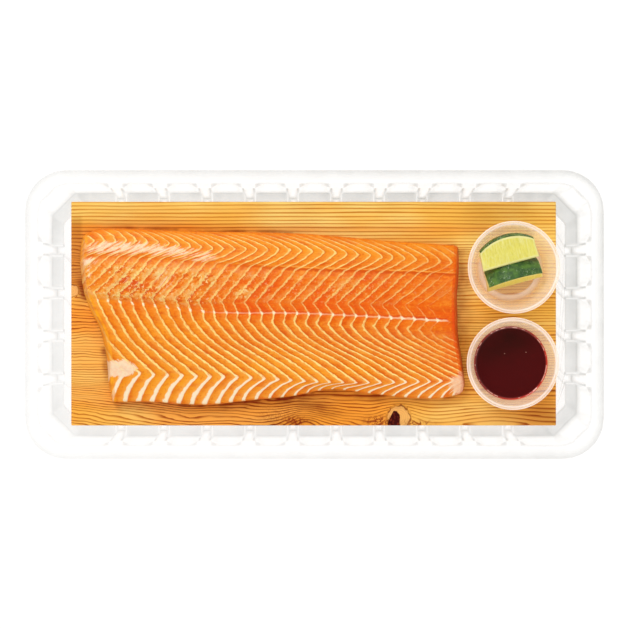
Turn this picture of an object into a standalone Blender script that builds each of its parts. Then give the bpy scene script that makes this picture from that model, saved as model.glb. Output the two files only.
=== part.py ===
"""A packed raw salmon fillet on a cedar plank, with a pot of lime wedges and a pot of glaze,
in its clear ribbed tray.

The row frame has its origin under the middle of the tray, +X along the tray, +Y across it and
+Z up. Sizes below are in millimetres; MM turns them into Blender's metres.
"""

import math

import bmesh
import bpy
import numpy as np
from mathutils import Matrix, Vector

MM = 0.001
GAP = 0.3  # clearance between pieces that rest on each other

# Tray: a thermoformed sheet. Half sizes are measured on its inner face.
SHEET = 0.8
TRAY_HEIGHT = 45.0
RIM_HALF = (193.2, 96.7)
RIM_CORNER = 28.0
SKIRT_DROP = 3.0
MOUTH_HALF = (186.5, 89.4)
MOUTH_CORNER = 21.5
LEDGE_HALF = (184.2, 87.1)
LEDGE_CUT = 14.5
LEDGE_Z = 43.0
SHOULDER_Z = 37.5
GUTTER_HALF = (180.0, 83.2)
GUTTER_CUT = 15.5
GUTTER_Z = SHEET
PLATFORM_HALF = (171.6, 75.0)
PLATFORM_CUT = 13.0
PLATFORM_Z = 4.0
GUTTER_BANK = 1.2
RIB_SHOULDER_IN = 2.4
RIB_FOOT_IN = 3.7
RIB_HALF = 3.0
RIB_FLANK = 1.6
RIB_FLARE = 4.2
RIB_PITCH = (29.5, 29.2)
RIBS = (10, 4)
CORNER_STEPS = 7

# Plank: sawn cedar.
PLANK = (330.2, 152.4, 9.5)
PLANK_CENTRE = (-0.6, 0.6)
PLANK_BEVEL = 0.5
PLANK_Z = PLATFORM_Z + GAP
PLANK_TOP = PLANK_Z + PLANK[2]

# Portion pots: a pressed cup with a rolled rim, as (radius, height) of its outline.
POT_BASE_Z = PLANK_TOP + GAP
POT_HEIGHT = 31.0
POT_WALL = 0.8
POT_RIM_RADIUS = 30.75
POT_FLOOR_RADIUS = 21.8
POT_MOUTH_RADIUS = 27.9
POT_SEGMENTS = 40
LIME_POT = (132.8, 31.4)
GLAZE_POT = (132.1, -32.7)
GLAZE_DEPTH = 14.0

# Lime wedge: a slice of a lime whose two tips were cut off.
LIME_RADIUS = 20.4
LIME_HALF_TIP_TO_TIP = 27.0
WEDGE_HALF_LENGTH = 19.4
WEDGE_END_TAPER = 0.06  # how much shorter the rind is than the core edge
WEDGE_ANGLE = 62.0
WEDGE_STATIONS = 9
WEDGE_ARC_STEPS = 8

# Fillet: rows across it, from the back's edge to the belly's edge. Each row has the line that it
# follows in plan and the place of fat line number k on it: start + pitch * k + stretch * k * k.
FILLET_Z = PLANK_TOP + GAP
FAT_LINES = (-14, 33)
BACK_EDGE = (
    (-157.0, 52.3), (-150.5, 55.6), (-143.0, 56.9), (-122.0, 57.0), (-95.0, 55.9), (-76.7, 55.4),
    (-9.7, 53.9), (57.2, 48.5), (96.1, 45.9),
)
BACK_TIPS = ((-153.7, 49.2), (-110.1, 49.2), (-76.7, 45.2), (-9.7, 43.2), (45.9, 39.2), (90.7, 35.2))
BACK_FOLD = ((-153.7, 39.8), (-110.1, 37.8), (-76.7, 35.2), (-9.7, 30.5), (57.2, 28.5), (94.1, 27.1))
LOIN_TIPS = ((-153.7, 15.7), (-110.1, 11.7), (-56.6, 8.4), (-9.7, 7.7), (90.7, 5.0))
MIDLINE = ((-150.3, 10.4), (-110.1, 6.7), (-76.7, 2.3), (-9.7, 1.0), (57.2, -2.3), (96.1, -4.7))
SIDE_TIPS = ((-147.0, 3.7), (-90.0, -2.3), (-46.5, -4.4), (17.1, -7.0), (84.0, -11.0))
FLANK_HIGH = ((-145.0, -17.1), (95.0, -17.1))
FLANK_LOW = ((-140.0, -30.5), (95.0, -30.5))
BELLY_TIPS = ((-136.9, -38.5), (-106.8, -40.5), (-41.2, -42.9), (10.4, -45.9), (53.9, -45.9), (97.4, -44.5))
BELLY_EDGE = (
    (-139.0, -58.6), (-116.8, -58.2), (-73.3, -60.2), (-39.8, -56.8), (-16.4, -54.6), (10.4, -49.9),
    (37.2, -52.6), (70.6, -55.9), (87.4, -55.6), (95.0, -54.0), (102.0, -51.5),
)
ROWS = (
    (BACK_EDGE, (-103.4, 5.76, 0.087)),
    (BACK_TIPS, (-83.0, 7.33, 0.0134)),
    (BACK_FOLD, (-102.8, 7.23, 0.0288)),
    (LOIN_TIPS, (-124.2, 7.70, 0.0)),
    (MIDLINE, (-122.5, 7.93, 0.0)),
    (SIDE_TIPS, (-119.5, 7.57, 0.0)),
    (FLANK_HIGH, (-107.9, 7.70, -0.010)),
    (FLANK_LOW, (-92.7, 8.57, -0.0268)),
    (BELLY_TIPS, (-79.3, 9.44, -0.0368)),
    (BELLY_EDGE, (-92.1, 8.91, -0.0201)),
)
ROW_STEPS = (3, 2, 3, 1, 1, 2, 2, 2, 2)  # quads between each row and the next
# Height of the flesh over the plank at each of ROWS, as a share of the thickest line.
ROW_SHARES = (0.40, 0.84, 0.97, 0.98, 0.93, 0.92, 0.84, 0.72, 0.60, 0.34)
THICK_LEFT = 23.5
THICK_RIGHT = 19.0
FLAKE_RELIEF = 0.7  # how far a flake's crest stands over its fat line
FOLD_DEPTH = 0.8  # the groove along the back fold
SEAM_DEPTH = 0.6  # the groove along the midline
EDGE_BULGE = 1.0
LEFT_CUT = (
    (-156.0, 58.0), (-158.4, 50.4), (-159.3, 43.5), (-159.5, 34.0), (-158.7, 27.2), (-158.0, 20.4),
    (-156.5, 13.6), (-154.0, 6.8), (-151.2, 0.0), (-147.2, -6.8), (-144.8, -13.6), (-143.2, -20.4),
    (-141.8, -27.2), (-141.0, -34.0), (-139.9, -47.7), (-138.6, -54.5), (-137.0, -64.0),
)
RIGHT_CUT = (
    (96.4, 58.0), (97.7, 46.3), (98.2, 34.0), (97.9, 24.0), (97.0, 13.6), (97.3, 0.0),
    (97.7, -13.6), (98.6, -20.4), (99.8, -27.2), (101.6, -40.9), (102.2, -47.0), (101.2, -52.0),
    (97.0, -56.5), (92.0, -64.0),
)
LEFT_CUT_LEAN = 7.0  # how far the knife leaned in over CUTTER_HEIGHT
RIGHT_CUT_LEAN = 5.0
CUTTER_HEIGHT = 30.0
CUTTER_REACH = 60.0


def clear_scene():
    """Removes what Blender starts with."""
    for obj in list(bpy.data.objects):
        bpy.data.objects.remove(obj)


def finish(name, colour, roughness, alpha=1.0):
    """One Principled material."""
    made = bpy.data.materials.new(name)
    made.use_nodes = True
    shader = made.node_tree.nodes["Principled BSDF"]
    shader.inputs["Base Color"].default_value = (*colour, 1.0)
    shader.inputs["Roughness"].default_value = roughness
    shader.inputs["Metallic"].default_value = 0.0
    shader.inputs["Alpha"].default_value = alpha
    made.diffuse_color = (*colour, alpha)
    return made


def solid(name, points, faces, material, crease_degrees=40.0):
    """A mesh object from points in millimetres, shaded smooth except at its sharp edges."""
    mesh = bpy.data.meshes.new(name)
    mesh.from_pydata([tuple(float(c) * MM for c in p) for p in points], [], faces)
    mesh.update()
    mesh.materials.append(material)
    mesh.shade_smooth()
    mesh.set_sharp_from_angle(angle=math.radians(crease_degrees))
    obj = bpy.data.objects.new(name, mesh)
    bpy.context.scene.collection.objects.link(obj)
    return obj


def through(points, x):
    """A smooth line through (x, y) points, read at x: cubic, with each slope taken from the
    neighbours, and straight on past the ends."""
    xs, ys = (np.array(column, float) for column in zip(*points))
    slopes = np.gradient(ys, xs)
    x = np.asarray(x, float)
    i = np.clip(np.searchsorted(xs, x) - 1, 0, len(xs) - 2)
    span = xs[i + 1] - xs[i]
    t = np.clip((x - xs[i]) / span, 0.0, 1.0)
    curve = (
        (2 * t**3 - 3 * t**2 + 1) * ys[i]
        + (t**3 - 2 * t**2 + t) * span * slopes[i]
        + (3 * t**2 - 2 * t**3) * ys[i + 1]
        + (t**3 - t**2) * span * slopes[i + 1]
    )
    before = np.minimum(x - xs[0], 0.0) * slopes[0]
    after = np.maximum(x - xs[-1], 0.0) * slopes[-1]
    return curve + before + after


# Tray


def side_columns(half_run, pitch, count):
    """Stops along one side between its corners, each as (place, kind). Kinds: rib, flank and bay."""
    stops = [(-half_run, "bay")]
    first = -pitch * (count - 1) / 2
    for rib in (first + pitch * n for n in range(count)):
        flank = RIB_HALF + RIB_FLANK
        stops += [(rib - flank - RIB_FLARE, "bay"), (rib - flank, "flank"), (rib - RIB_HALF, "rib")]
        stops += [(rib + RIB_HALF, "rib"), (rib + flank, "flank"), (rib + flank + RIB_FLARE, "bay")]
    return stops + [(half_run, "bay")]


def tray_stops():
    """Every stop round the tray, anticlockwise, as (side, place, kind). A corner stop has its side
    before it and its share of the way round as its place."""
    runs = (MOUTH_HALF[0] - MOUTH_CORNER, MOUTH_HALF[1] - MOUTH_CORNER)
    stops = []
    for side in range(4):
        along = side % 2
        stops += [(side, *stop) for stop in side_columns(runs[along], RIB_PITCH[along], RIBS[along])]
        stops += [(side, step / CORNER_STEPS, "corner") for step in range(1, CORNER_STEPS)]
    return stops


def turned(side, along, out):
    """A point given along and out from a side, turned to that side of the tray."""
    return [(along, -out), (out, along), (-along, out), (-out, -along)][side]


def tray_point(stop, half, corner, cut):
    """The point of a level at a stop. The level's outline has these half sizes. Its corners are
    round with radius corner or, where cut is given, straight cuts that start cut short of it."""
    side, place, kind = stop
    along, across = side % 2, 1 - side % 2
    if kind != "corner":
        reach = MOUTH_HALF[along] - MOUTH_CORNER
        end = half[along] - (corner if cut is None else cut)
        scaled = place * min(1.0, end / reach) if abs(place) == reach else place
        return turned(side, scaled, half[across])
    if cut is None:
        angle = place * math.pi / 2
        centre = (half[along] - corner, half[across] - corner)
        return turned(side, centre[0] + corner * math.sin(angle), centre[1] + corner * math.cos(angle))
    return turned(side, half[along] - cut * (1 - place), half[across] - cut * place)


def inset(half, amount):
    """Half sizes moved in by an amount."""
    return (half[0] - amount, half[1] - amount)


def between(low, high, share):
    """Half sizes a share of the way from one level to another."""
    return tuple(a + (b - a) * share for a, b in zip(low, high))


def tray_column(stop):
    """The inner face at one stop, from the skirt's lower edge to the platform's edge."""
    kind = stop[2]
    shoulder_share = (LEDGE_Z - SHOULDER_Z) / (LEDGE_Z - GUTTER_Z)
    shoulder = between(LEDGE_HALF, GUTTER_HALF, shoulder_share)
    raised = kind == "rib"
    shoulder_in = RIB_SHOULDER_IN if kind in ("rib", "flank") else 0.0
    foot_in = RIB_FOOT_IN if raised else 0.0
    foot_z = PLATFORM_Z if raised else GUTTER_Z
    bank = inset(PLATFORM_HALF, -GUTTER_BANK)
    levels = (
        (RIM_HALF, RIM_CORNER, None, TRAY_HEIGHT - SKIRT_DROP),
        (inset(RIM_HALF, 0.8), RIM_CORNER - 0.8, None, TRAY_HEIGHT),
        (inset(MOUTH_HALF, -0.6), MOUTH_CORNER + 0.6, None, TRAY_HEIGHT),
        (LEDGE_HALF, None, LEDGE_CUT, LEDGE_Z),
        (inset(shoulder, shoulder_in), None, LEDGE_CUT, SHOULDER_Z),
        (inset(GUTTER_HALF, foot_in), None, GUTTER_CUT, foot_z),
        (bank, None, PLATFORM_CUT + 0.5, foot_z),
        (PLATFORM_HALF, None, PLATFORM_CUT, PLATFORM_Z),
    )
    return [(*tray_point(stop, half, corner, cut), z) for half, corner, cut, z in levels]


def make_tray(material):
    """The tray: columns of the inner face joined round, a flat platform, and the sheet's thickness,
    with the pockets' undersides set on one plane."""
    columns = [tray_column(stop) for stop in tray_stops()]
    count, levels = len(columns), len(columns[0])
    points = [point for column in columns for point in column]
    faces = []
    for c in range(count):
        here, after = c * levels, (c + 1) % count * levels
        faces += [(here + n, here + n + 1, after + n + 1, after + n) for n in range(levels - 1)]
    faces.append([c * levels + levels - 1 for c in range(count)])
    tray = solid("tray", points, faces, material)
    shape = bmesh.new()
    shape.from_mesh(tray.data)
    bmesh.ops.recalc_face_normals(shape, faces=shape.faces)
    platform = max(shape.faces, key=lambda face: face.calc_area())
    if platform.normal.z < 0:
        bmesh.ops.reverse_faces(shape, faces=shape.faces)
    shape.to_mesh(tray.data)
    shape.free()
    wall = tray.modifiers.new("sheet", "SOLIDIFY")
    wall.thickness = SHEET * MM
    wall.offset = -1.0
    wall.use_even_offset = True
    graph = bpy.context.evaluated_depsgraph_get()
    formed = bpy.data.meshes.new_from_object(tray.evaluated_get(graph))
    formed.name = "tray"
    for vertex in formed.vertices:
        if vertex.co.z < 0.5 * SHEET * MM:
            vertex.co.z = 0.0
    tray.modifiers.clear()
    tray.data = formed
    return tray


# Plank


def make_plank(material):
    """The plank, with its edges just broken."""
    half = [size / 2 for size in PLANK]
    centre = (*PLANK_CENTRE, PLANK_Z + half[2])
    corners = [
        [centre[axis] + half[axis] * (1 if corner >> axis & 1 else -1) for axis in range(3)]
        for corner in range(8)
    ]
    faces = [(0, 2, 3, 1), (4, 5, 7, 6), (0, 1, 5, 4), (2, 6, 7, 3), (0, 4, 6, 2), (1, 3, 7, 5)]
    plank = solid("plank", corners, faces, material)
    edge = plank.modifiers.new("edge", "BEVEL")
    edge.width = PLANK_BEVEL * MM
    edge.segments = 1
    return plank


# Pots


def turned_body(name, outline, centre, base_z, material):
    """A closed body of revolution from an outline of (radius, height) that starts and ends on the
    axis and runs round the section anticlockwise, seen with the axis on the left."""
    angles = [2 * math.pi * n / POT_SEGMENTS for n in range(POT_SEGMENTS)]
    rings = outline[1:-1]
    points = [
        (centre[0] + r * math.cos(a), centre[1] + r * math.sin(a), base_z + h)
        for r, h in rings
        for a in angles
    ]
    first, last = len(points), len(points) + 1
    points += [(*centre, base_z + outline[0][1]), (*centre, base_z + outline[-1][1])]
    faces = []
    for n in range(POT_SEGMENTS):
        after = (n + 1) % POT_SEGMENTS
        faces.append((first, after, n))
        top = (len(rings) - 1) * POT_SEGMENTS
        faces.append((last, top + n, top + after))
        for ring in range(len(rings) - 1):
            low, high = ring * POT_SEGMENTS, (ring + 1) * POT_SEGMENTS
            faces.append((low + n, low + after, high + after, high + n))
    return solid(name, points, faces, material)


def make_pot(name, centre, material):
    """A portion pot: floor, tapered wall and rolled rim."""
    top = POT_HEIGHT
    outline = (
        (0.0, 0.0), (21.4, 0.0), (22.5, 1.0), (28.6, top - 2.4), (30.1, top - 2.4),
        (POT_RIM_RADIUS, top - 1.8), (POT_RIM_RADIUS, top - 0.6), (30.2, top), (28.9, top),
        (28.1, top - 0.7), (POT_MOUTH_RADIUS, top - 1.6), (POT_FLOOR_RADIUS, 1.5),
        (21.0, POT_WALL), (0.0, POT_WALL),
    )
    return turned_body(name, outline, centre, POT_BASE_Z, material)


def pot_inside(height):
    """The pot's inner radius at a height over its base."""
    share = (height - 1.5) / (POT_HEIGHT - 1.6 - 1.5)
    return POT_FLOOR_RADIUS + (POT_MOUTH_RADIUS - POT_FLOOR_RADIUS) * share


def make_glaze(material):
    """The glaze, solid up to its surface, a gap clear of the pot."""
    floor = POT_WALL + GAP
    top = POT_WALL + GLAZE_DEPTH
    outline = (
        (0.0, floor), (20.8 - GAP, floor), (pot_inside(1.6 + GAP) - GAP, 1.6 + GAP),
        (pot_inside(top - 0.4) - GAP, top), (pot_inside(top - 0.4) - 2.2, top - 0.4), (0.0, top - 0.4),
    )
    return turned_body("glaze", outline, GLAZE_POT, POT_BASE_Z, material)


# Lime wedges


def make_wedge(name, placed, material):
    """A wedge along local X: its core edge on the axis, its rind an arc about +Z."""
    half_angle = math.radians(WEDGE_ANGLE / 2)
    points = []
    for n in range(WEDGE_STATIONS):
        core = WEDGE_HALF_LENGTH * (2 * n / (WEDGE_STATIONS - 1) - 1)
        x = core * (1 - WEDGE_END_TAPER)
        radius = LIME_RADIUS * math.sqrt(1 - (x / LIME_HALF_TIP_TO_TIP) ** 2)
        points.append((core, 0.0, 0.0))
        for step in range(WEDGE_ARC_STEPS + 1):
            angle = half_angle * (2 * step / WEDGE_ARC_STEPS - 1)
            points.append((x, radius * math.sin(angle), radius * math.cos(angle)))
    ring = WEDGE_ARC_STEPS + 2
    faces = [
        (n * ring + c, (n + 1) * ring + c, (n + 1) * ring + (c + 1) % ring, n * ring + (c + 1) % ring)
        for n in range(WEDGE_STATIONS - 1)
        for c in range(ring)
    ]
    faces.append(tuple(range(ring)))
    faces.append(tuple(reversed(range((WEDGE_STATIONS - 1) * ring, WEDGE_STATIONS * ring))))
    moved = [placed @ Vector(point) for point in points]
    return solid(name, moved, faces, material, 30.0)


def wedge_place(offset, height, heading, roll, dip):
    """Where a wedge lies: its core edge's middle from the pot's centre, its height over the pot's
    floor, its heading in plan, its roll about its own length and the dip of its right end."""
    place = Vector((LIME_POT[0] + offset[0], LIME_POT[1] + offset[1], POT_BASE_Z + POT_WALL + height))
    turn = Matrix.Rotation(math.radians(heading), 4, "Z")
    turn @= Matrix.Rotation(math.radians(dip), 4, "Y")
    turn @= Matrix.Rotation(math.radians(roll), 4, "X")
    return Matrix.Translation(place) @ turn


# Fillet


def row_y(row, x):
    """The line of a row in plan."""
    return through(ROWS[row][0], x)


def row_x(row, k):
    """Where fat line k crosses a row."""
    start, pitch, stretch = ROWS[row][1]
    return start + pitch * k + stretch * k * k


def thickest(x):
    """Thickness of the fillet's thickest line at x."""
    share = np.clip((x + 156.0) / 257.0, 0.0, 1.0)
    return THICK_LEFT + (THICK_RIGHT - THICK_LEFT) * share


def fillet_section(k):
    """The closed ring of points along fat line or flake crest k, from the back's foot over the top
    to the belly's foot."""
    crest = 1.0 if round(2 * k) % 2 else 0.0
    ring = []
    for row, steps in enumerate(ROW_STEPS):
        last = row == len(ROW_STEPS) - 1
        for step in range(steps + (1 if last else 0)):
            share = step / steps
            x = row_x(row, k) * (1 - share) + row_x(row + 1, k) * share
            y = row_y(row, x) * (1 - share) + row_y(row + 1, x) * share
            eased = math.sin(share * math.pi / 2) if row == 0 else share
            height = ROW_SHARES[row] + (ROW_SHARES[row + 1] - ROW_SHARES[row]) * eased
            z = thickest(x) * height
            at_edge = (row == 0 and step == 0) or (last and step == steps)
            z += 0.0 if at_edge else FLAKE_RELIEF * crest
            if step == 0 and row == 2:
                z -= FOLD_DEPTH
            if step == 0 and row == 4:
                z -= SEAM_DEPTH
            ring.append((float(x), float(y), FILLET_Z + float(z)))
    back, belly = ring[0], ring[-1]
    back_foot = [
        (back[0], back[1] + EDGE_BULGE, FILLET_Z + 0.45 * (back[2] - FILLET_Z)),
        (back[0], back[1] - 0.4, FILLET_Z),
    ]
    belly_foot = [
        (belly[0], belly[1] - EDGE_BULGE, FILLET_Z + 0.5 * (belly[2] - FILLET_Z)),
        (belly[0], belly[1] + 0.6, FILLET_Z),
    ]
    return back_foot[::-1] + ring + belly_foot


def loft(name, rings, material):
    """A closed body through equal rings, capped at both ends."""
    size = len(rings[0])
    points = [point for ring in rings for point in ring]
    faces = []
    for n in range(len(rings) - 1):
        for c in range(size):
            here, after = n * size + c, n * size + (c + 1) % size
            faces.append((here, after, after + size, here + size))
    faces.append(tuple(reversed(range(size))))
    faces.append(tuple(range((len(rings) - 1) * size, len(rings) * size)))
    return solid(name, points, faces, material, 50.0)


def knife(name, line, lean, reach):
    """A wedge of space beyond a cut: line is the cut at the plank, from back to belly, lean is how far
    it moves in over its height, and reach is how far the space runs out."""
    levels = []
    low, high = FILLET_Z - 2.0, FILLET_Z + CUTTER_HEIGHT
    for z, moved in ((low, -lean * 2.0 / CUTTER_HEIGHT), (high, lean)):
        face = [(x + math.copysign(moved, -reach) * 1.0, y, z) for x, y in line]
        back = [(line[0][0] + reach, line[-1][1], z), (line[0][0] + reach, line[0][1], z)]
        levels.append(face + back)
    size = len(levels[0])
    points = levels[0] + levels[1]
    faces = [(n, (n + 1) % size, size + (n + 1) % size, size + n) for n in range(size)]
    faces += [tuple(reversed(range(size))), tuple(range(size, 2 * size))]
    cutter = solid(name, points, faces, bpy.data.materials["salmon"])
    shape = bmesh.new()
    shape.from_mesh(cutter.data)
    bmesh.ops.recalc_face_normals(shape, faces=shape.faces)
    shape.to_mesh(cutter.data)
    shape.free()
    cutter.data.shade_flat()
    cutter.hide_render = True
    cutter.display_type = "WIRE"
    return cutter


def make_fillet(material):
    """The fillet: lofted along its fat lines past both ends, then cut off by two knife cuts."""
    first, last = FAT_LINES
    rings = [fillet_section(first + half / 2) for half in range(2 * (last - first) + 1)]
    fillet = loft("fillet", rings, material)
    shape = bmesh.new()
    shape.from_mesh(fillet.data)
    bmesh.ops.triangulate(shape, faces=shape.faces)
    bmesh.ops.recalc_face_normals(shape, faces=shape.faces)
    shape.to_mesh(fillet.data)
    shape.free()
    cuts = (
        knife("left_knife", LEFT_CUT, LEFT_CUT_LEAN, -CUTTER_REACH),
        knife("right_knife", RIGHT_CUT, RIGHT_CUT_LEAN, CUTTER_REACH * 3),
    )
    for cutter in cuts:
        cut = fillet.modifiers.new(cutter.name, "BOOLEAN")
        cut.operation = "DIFFERENCE"
        cut.solver = "EXACT"
        cut.object = cutter
    return fillet


def main():
    """Makes every piece in its place."""
    clear_scene()
    clear = finish("clear_plastic", (0.93, 0.94, 0.93), 0.15, 0.35)
    cedar = finish("cedar", (0.80, 0.48, 0.18), 0.65)
    salmon = finish("salmon", (0.89, 0.36, 0.13), 0.35)
    lime = finish("lime", (0.45, 0.55, 0.15), 0.4)
    glaze = finish("glaze", (0.16, 0.015, 0.01), 0.1)
    make_tray(clear)
    make_plank(cedar)
    make_fillet(salmon)
    make_pot("lime_pot", LIME_POT, clear)
    make_pot("glaze_pot", GLAZE_POT, clear)
    make_glaze(glaze)
    make_wedge("lime_wedge_upper", wedge_place((-1.1, 2.4), 21.7, 15.4, -96.0, 0.0), lime)
    make_wedge("lime_wedge_lower", wedge_place((3.0, -11.0), 6.5, 15.4, -38.0, 0.0), lime)


main()
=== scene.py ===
"""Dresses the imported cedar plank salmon: a raw fillet on its plank, with a pot of lime wedges and a
pot of glaze, in a clear ribbed tray.

Sizes in this file are millimetres in the row frame, as in the part's source; MM turns them into
metres where a mesh is made.
"""

from __future__ import annotations

import logging
import math
from dataclasses import dataclass, field
from enum import Enum
from functools import cached_property

import bpy
import numpy as np
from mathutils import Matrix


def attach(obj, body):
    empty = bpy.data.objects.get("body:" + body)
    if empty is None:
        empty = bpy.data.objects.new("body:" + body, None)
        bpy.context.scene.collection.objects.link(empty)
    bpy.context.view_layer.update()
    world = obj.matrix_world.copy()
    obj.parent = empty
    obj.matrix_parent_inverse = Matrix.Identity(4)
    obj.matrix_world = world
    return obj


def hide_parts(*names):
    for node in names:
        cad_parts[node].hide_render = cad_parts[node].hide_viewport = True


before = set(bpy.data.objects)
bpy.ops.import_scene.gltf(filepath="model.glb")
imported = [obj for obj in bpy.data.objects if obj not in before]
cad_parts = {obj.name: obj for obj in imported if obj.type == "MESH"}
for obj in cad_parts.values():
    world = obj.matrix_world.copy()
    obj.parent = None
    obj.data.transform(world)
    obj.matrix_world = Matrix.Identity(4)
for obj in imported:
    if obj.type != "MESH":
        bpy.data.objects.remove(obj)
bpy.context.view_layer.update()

log = logging.getLogger("cedar_plank_salmon")

Array = np.ndarray
Pair = tuple[float, float]
Points = tuple[Pair, ...]
Span = tuple[float, float, float]
Paint = tuple[float, float, float]
Faces = list[tuple[int, ...]]

MM = 0.001
PHOTO_SIDE = 629
SENSOR = 36.0

# Where the pieces stand: each keeps a small gap to what carries it.
GAP = 0.3
PLATFORM = 4.0
PLANK_THICK = 9.5
PLANK_BASE = PLATFORM + GAP
ON_PLANK = PLANK_BASE + PLANK_THICK + GAP
LIME_POT = (132.8, 31.4)
GLAZE_POT = (132.1, -32.7)

# The fillet's outline in plan: its long edges as (x, y), and the feet of its end cuts as (y, x).
BACK_EDGE: Points = (
    (-157.0, 52.3), (-150.5, 55.6), (-143.0, 56.9), (-122.0, 57.0), (-95.0, 55.9), (-76.7, 55.4),
    (-9.7, 53.9), (57.2, 48.5), (96.1, 45.9),
)
BELLY_EDGE: Points = (
    (-139.0, -58.6), (-116.8, -58.2), (-73.3, -60.2), (-39.8, -56.8), (-16.4, -54.6), (10.4, -49.9),
    (37.2, -52.6), (70.6, -55.9), (87.4, -55.6), (95.0, -54.0), (102.0, -51.5),
)
LEFT_CUT: Points = (
    (-64.0, -137.0), (-54.5, -138.6), (-47.7, -139.9), (-34.0, -141.0), (-27.2, -141.8), (-20.4, -143.2),
    (-13.6, -144.8), (-6.8, -147.2), (0.0, -151.2), (6.8, -154.0), (13.6, -156.5), (20.4, -158.0),
    (27.2, -158.7), (34.0, -159.5), (43.5, -159.3), (50.4, -158.4), (58.0, -156.0),
)
RIGHT_CUT: Points = (
    (-64.0, 92.0), (-56.5, 97.0), (-52.0, 101.2), (-47.0, 102.2), (-40.9, 101.6), (-27.2, 99.8),
    (-20.4, 98.6), (-13.6, 97.7), (0.0, 97.3), (13.6, 97.0), (24.0, 97.9), (34.0, 98.2), (46.3, 97.7),
    (58.0, 96.4),
)


def paint(red: float, green: float, blue: float) -> Paint:
    """A colour given in display values from 0 to 255, as linear light."""
    return tuple(
        v / 255 / 12.92 if v <= 10.3 else ((v / 255 + 0.055) / 1.055) ** 2.4 for v in (red, green, blue)
    )


# Fields and curves


def ease(t: Array | float) -> Array:
    """A smooth step from 0 at t = 0 to 1 at t = 1: three t squared minus two t cubed."""
    t = np.clip(t, 0.0, 1.0)
    return t * t * (3.0 - 2.0 * t)


def window(x: Array, low: float, high: float, soft: float) -> Array:
    """1 between low and high, falling smoothly to 0 over soft on both sides."""
    return ease((x - low) / soft + 1.0) * ease((high - x) / soft + 1.0)


def bell(distance: Array, width: float) -> Array:
    """A soft ridge: e to the minus square of a distance measured in widths."""
    return np.exp(-((distance / width) ** 2))


def blob(x: Array, y: Array, centre: Pair, radii: Pair, power: float = 1.0) -> Array:
    """A round patch: e to the minus r squared to a power, where r is the distance from the centre
    measured in radii. More power makes its edge harder."""
    r2 = ((x - centre[0]) / radii[0]) ** 2 + ((y - centre[1]) / radii[1]) ** 2
    return np.exp(-(r2**power))


def through(points: Points, x: Array) -> Array:
    """A smooth line through (x, y) points: on each span the cubic whose end slopes come from the
    neighbours, and straight on past the ends.

    Args:
        points: the points, in order of x.
        x: where the line is read.

    Returns:
        The line's y at each x.
    """
    xs, ys = (np.array(column, float) for column in zip(*points))
    slopes = np.gradient(ys, xs)
    x = np.asarray(x, float)
    i = np.clip(np.searchsorted(xs, x) - 1, 0, len(xs) - 2)
    span = xs[i + 1] - xs[i]
    t = np.clip((x - xs[i]) / span, 0.0, 1.0)
    curve = (
        (2 * t**3 - 3 * t**2 + 1) * ys[i]
        + (t**3 - 2 * t**2 + t) * span * slopes[i]
        + (3 * t**2 - 2 * t**3) * ys[i + 1]
        + (t**3 - t**2) * span * slopes[i + 1]
    )
    return curve + np.minimum(x - xs[0], 0.0) * slopes[0] + np.maximum(x - xs[-1], 0.0) * slopes[-1]


@dataclass(frozen=True)
class Grain:
    """Seeded smooth noise over a plane, from about -1 to 1: lattices of random values, each blended
    by a smooth step, with every octave twice as fine and half as strong as the one before."""

    seed: int
    octaves: int = 3
    lattice: int = 97
    reach: float = 1.4

    def at(self, u: Array, v: Array) -> Array:
        """The noise at (u, v), where a lattice step is one unit.

        Args:
            u: first coordinate.
            v: second coordinate, which broadcasts with u.

        Returns:
            The noise, in the shape of u and v together.
        """
        u, v = np.broadcast_arrays(np.asarray(u, float), np.asarray(v, float))
        total, strength, n = np.zeros(u.shape), 0.0, self.lattice
        for octave in range(self.octaves):
            table = np.random.default_rng(self.seed + octave).uniform(-1, 1, (n, n))
            a, b = u * 2**octave + 0.37 * octave, v * 2**octave + 0.71 * octave
            i, j = np.floor(a).astype(int), np.floor(b).astype(int)
            s, t = ease(a - i), ease(b - j)
            i0, i1, j0, j1 = i % n, (i + 1) % n, j % n, (j + 1) % n
            low = table[i0, j0] * (1 - s) + table[i1, j0] * s
            high = table[i0, j1] * (1 - s) + table[i1, j1] * s
            total += 0.5**octave * (low * (1 - t) + high * t)
            strength += 0.5**octave
        return total / strength * self.reach


# Meshes


def listed(faces: Array) -> Faces:
    """Rows of point indices as a list of faces."""
    return [tuple(face) for face in faces.tolist()]


def grid_faces(rows: int, columns: int, wrap: bool = False, start: int = 0) -> Array:
    """The quads of a grid of points stored row by row.

    Args:
        rows: number of rows.
        columns: number of columns.
        wrap: whether the last column joins the first.
        start: index of the grid's first point.

    Returns:
        One row of four point indices for each quad.
    """
    r, c = np.meshgrid(np.arange(rows - 1), np.arange(columns if wrap else columns - 1), indexing="ij")
    here, ahead = r * columns, (r + 1) * columns
    right = (c + 1) % columns
    return np.stack([here + c, here + right, ahead + right, ahead + c], -1).reshape(-1, 4) + start


def turned(r: Array, h: Array, segments: int) -> Array:
    """Points of a profile of radii and heights turned about the upright axis: (r cos a, r sin a, h)
    for even angles a, ring by ring."""
    angle = np.linspace(0, 2 * np.pi, segments, endpoint=False)[None, :]
    r, h = np.asarray(r, float)[:, None], np.asarray(h, float)[:, None]
    return np.stack([r * np.cos(angle), r * np.sin(angle), h + 0 * angle], -1).reshape(-1, 3)


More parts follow.
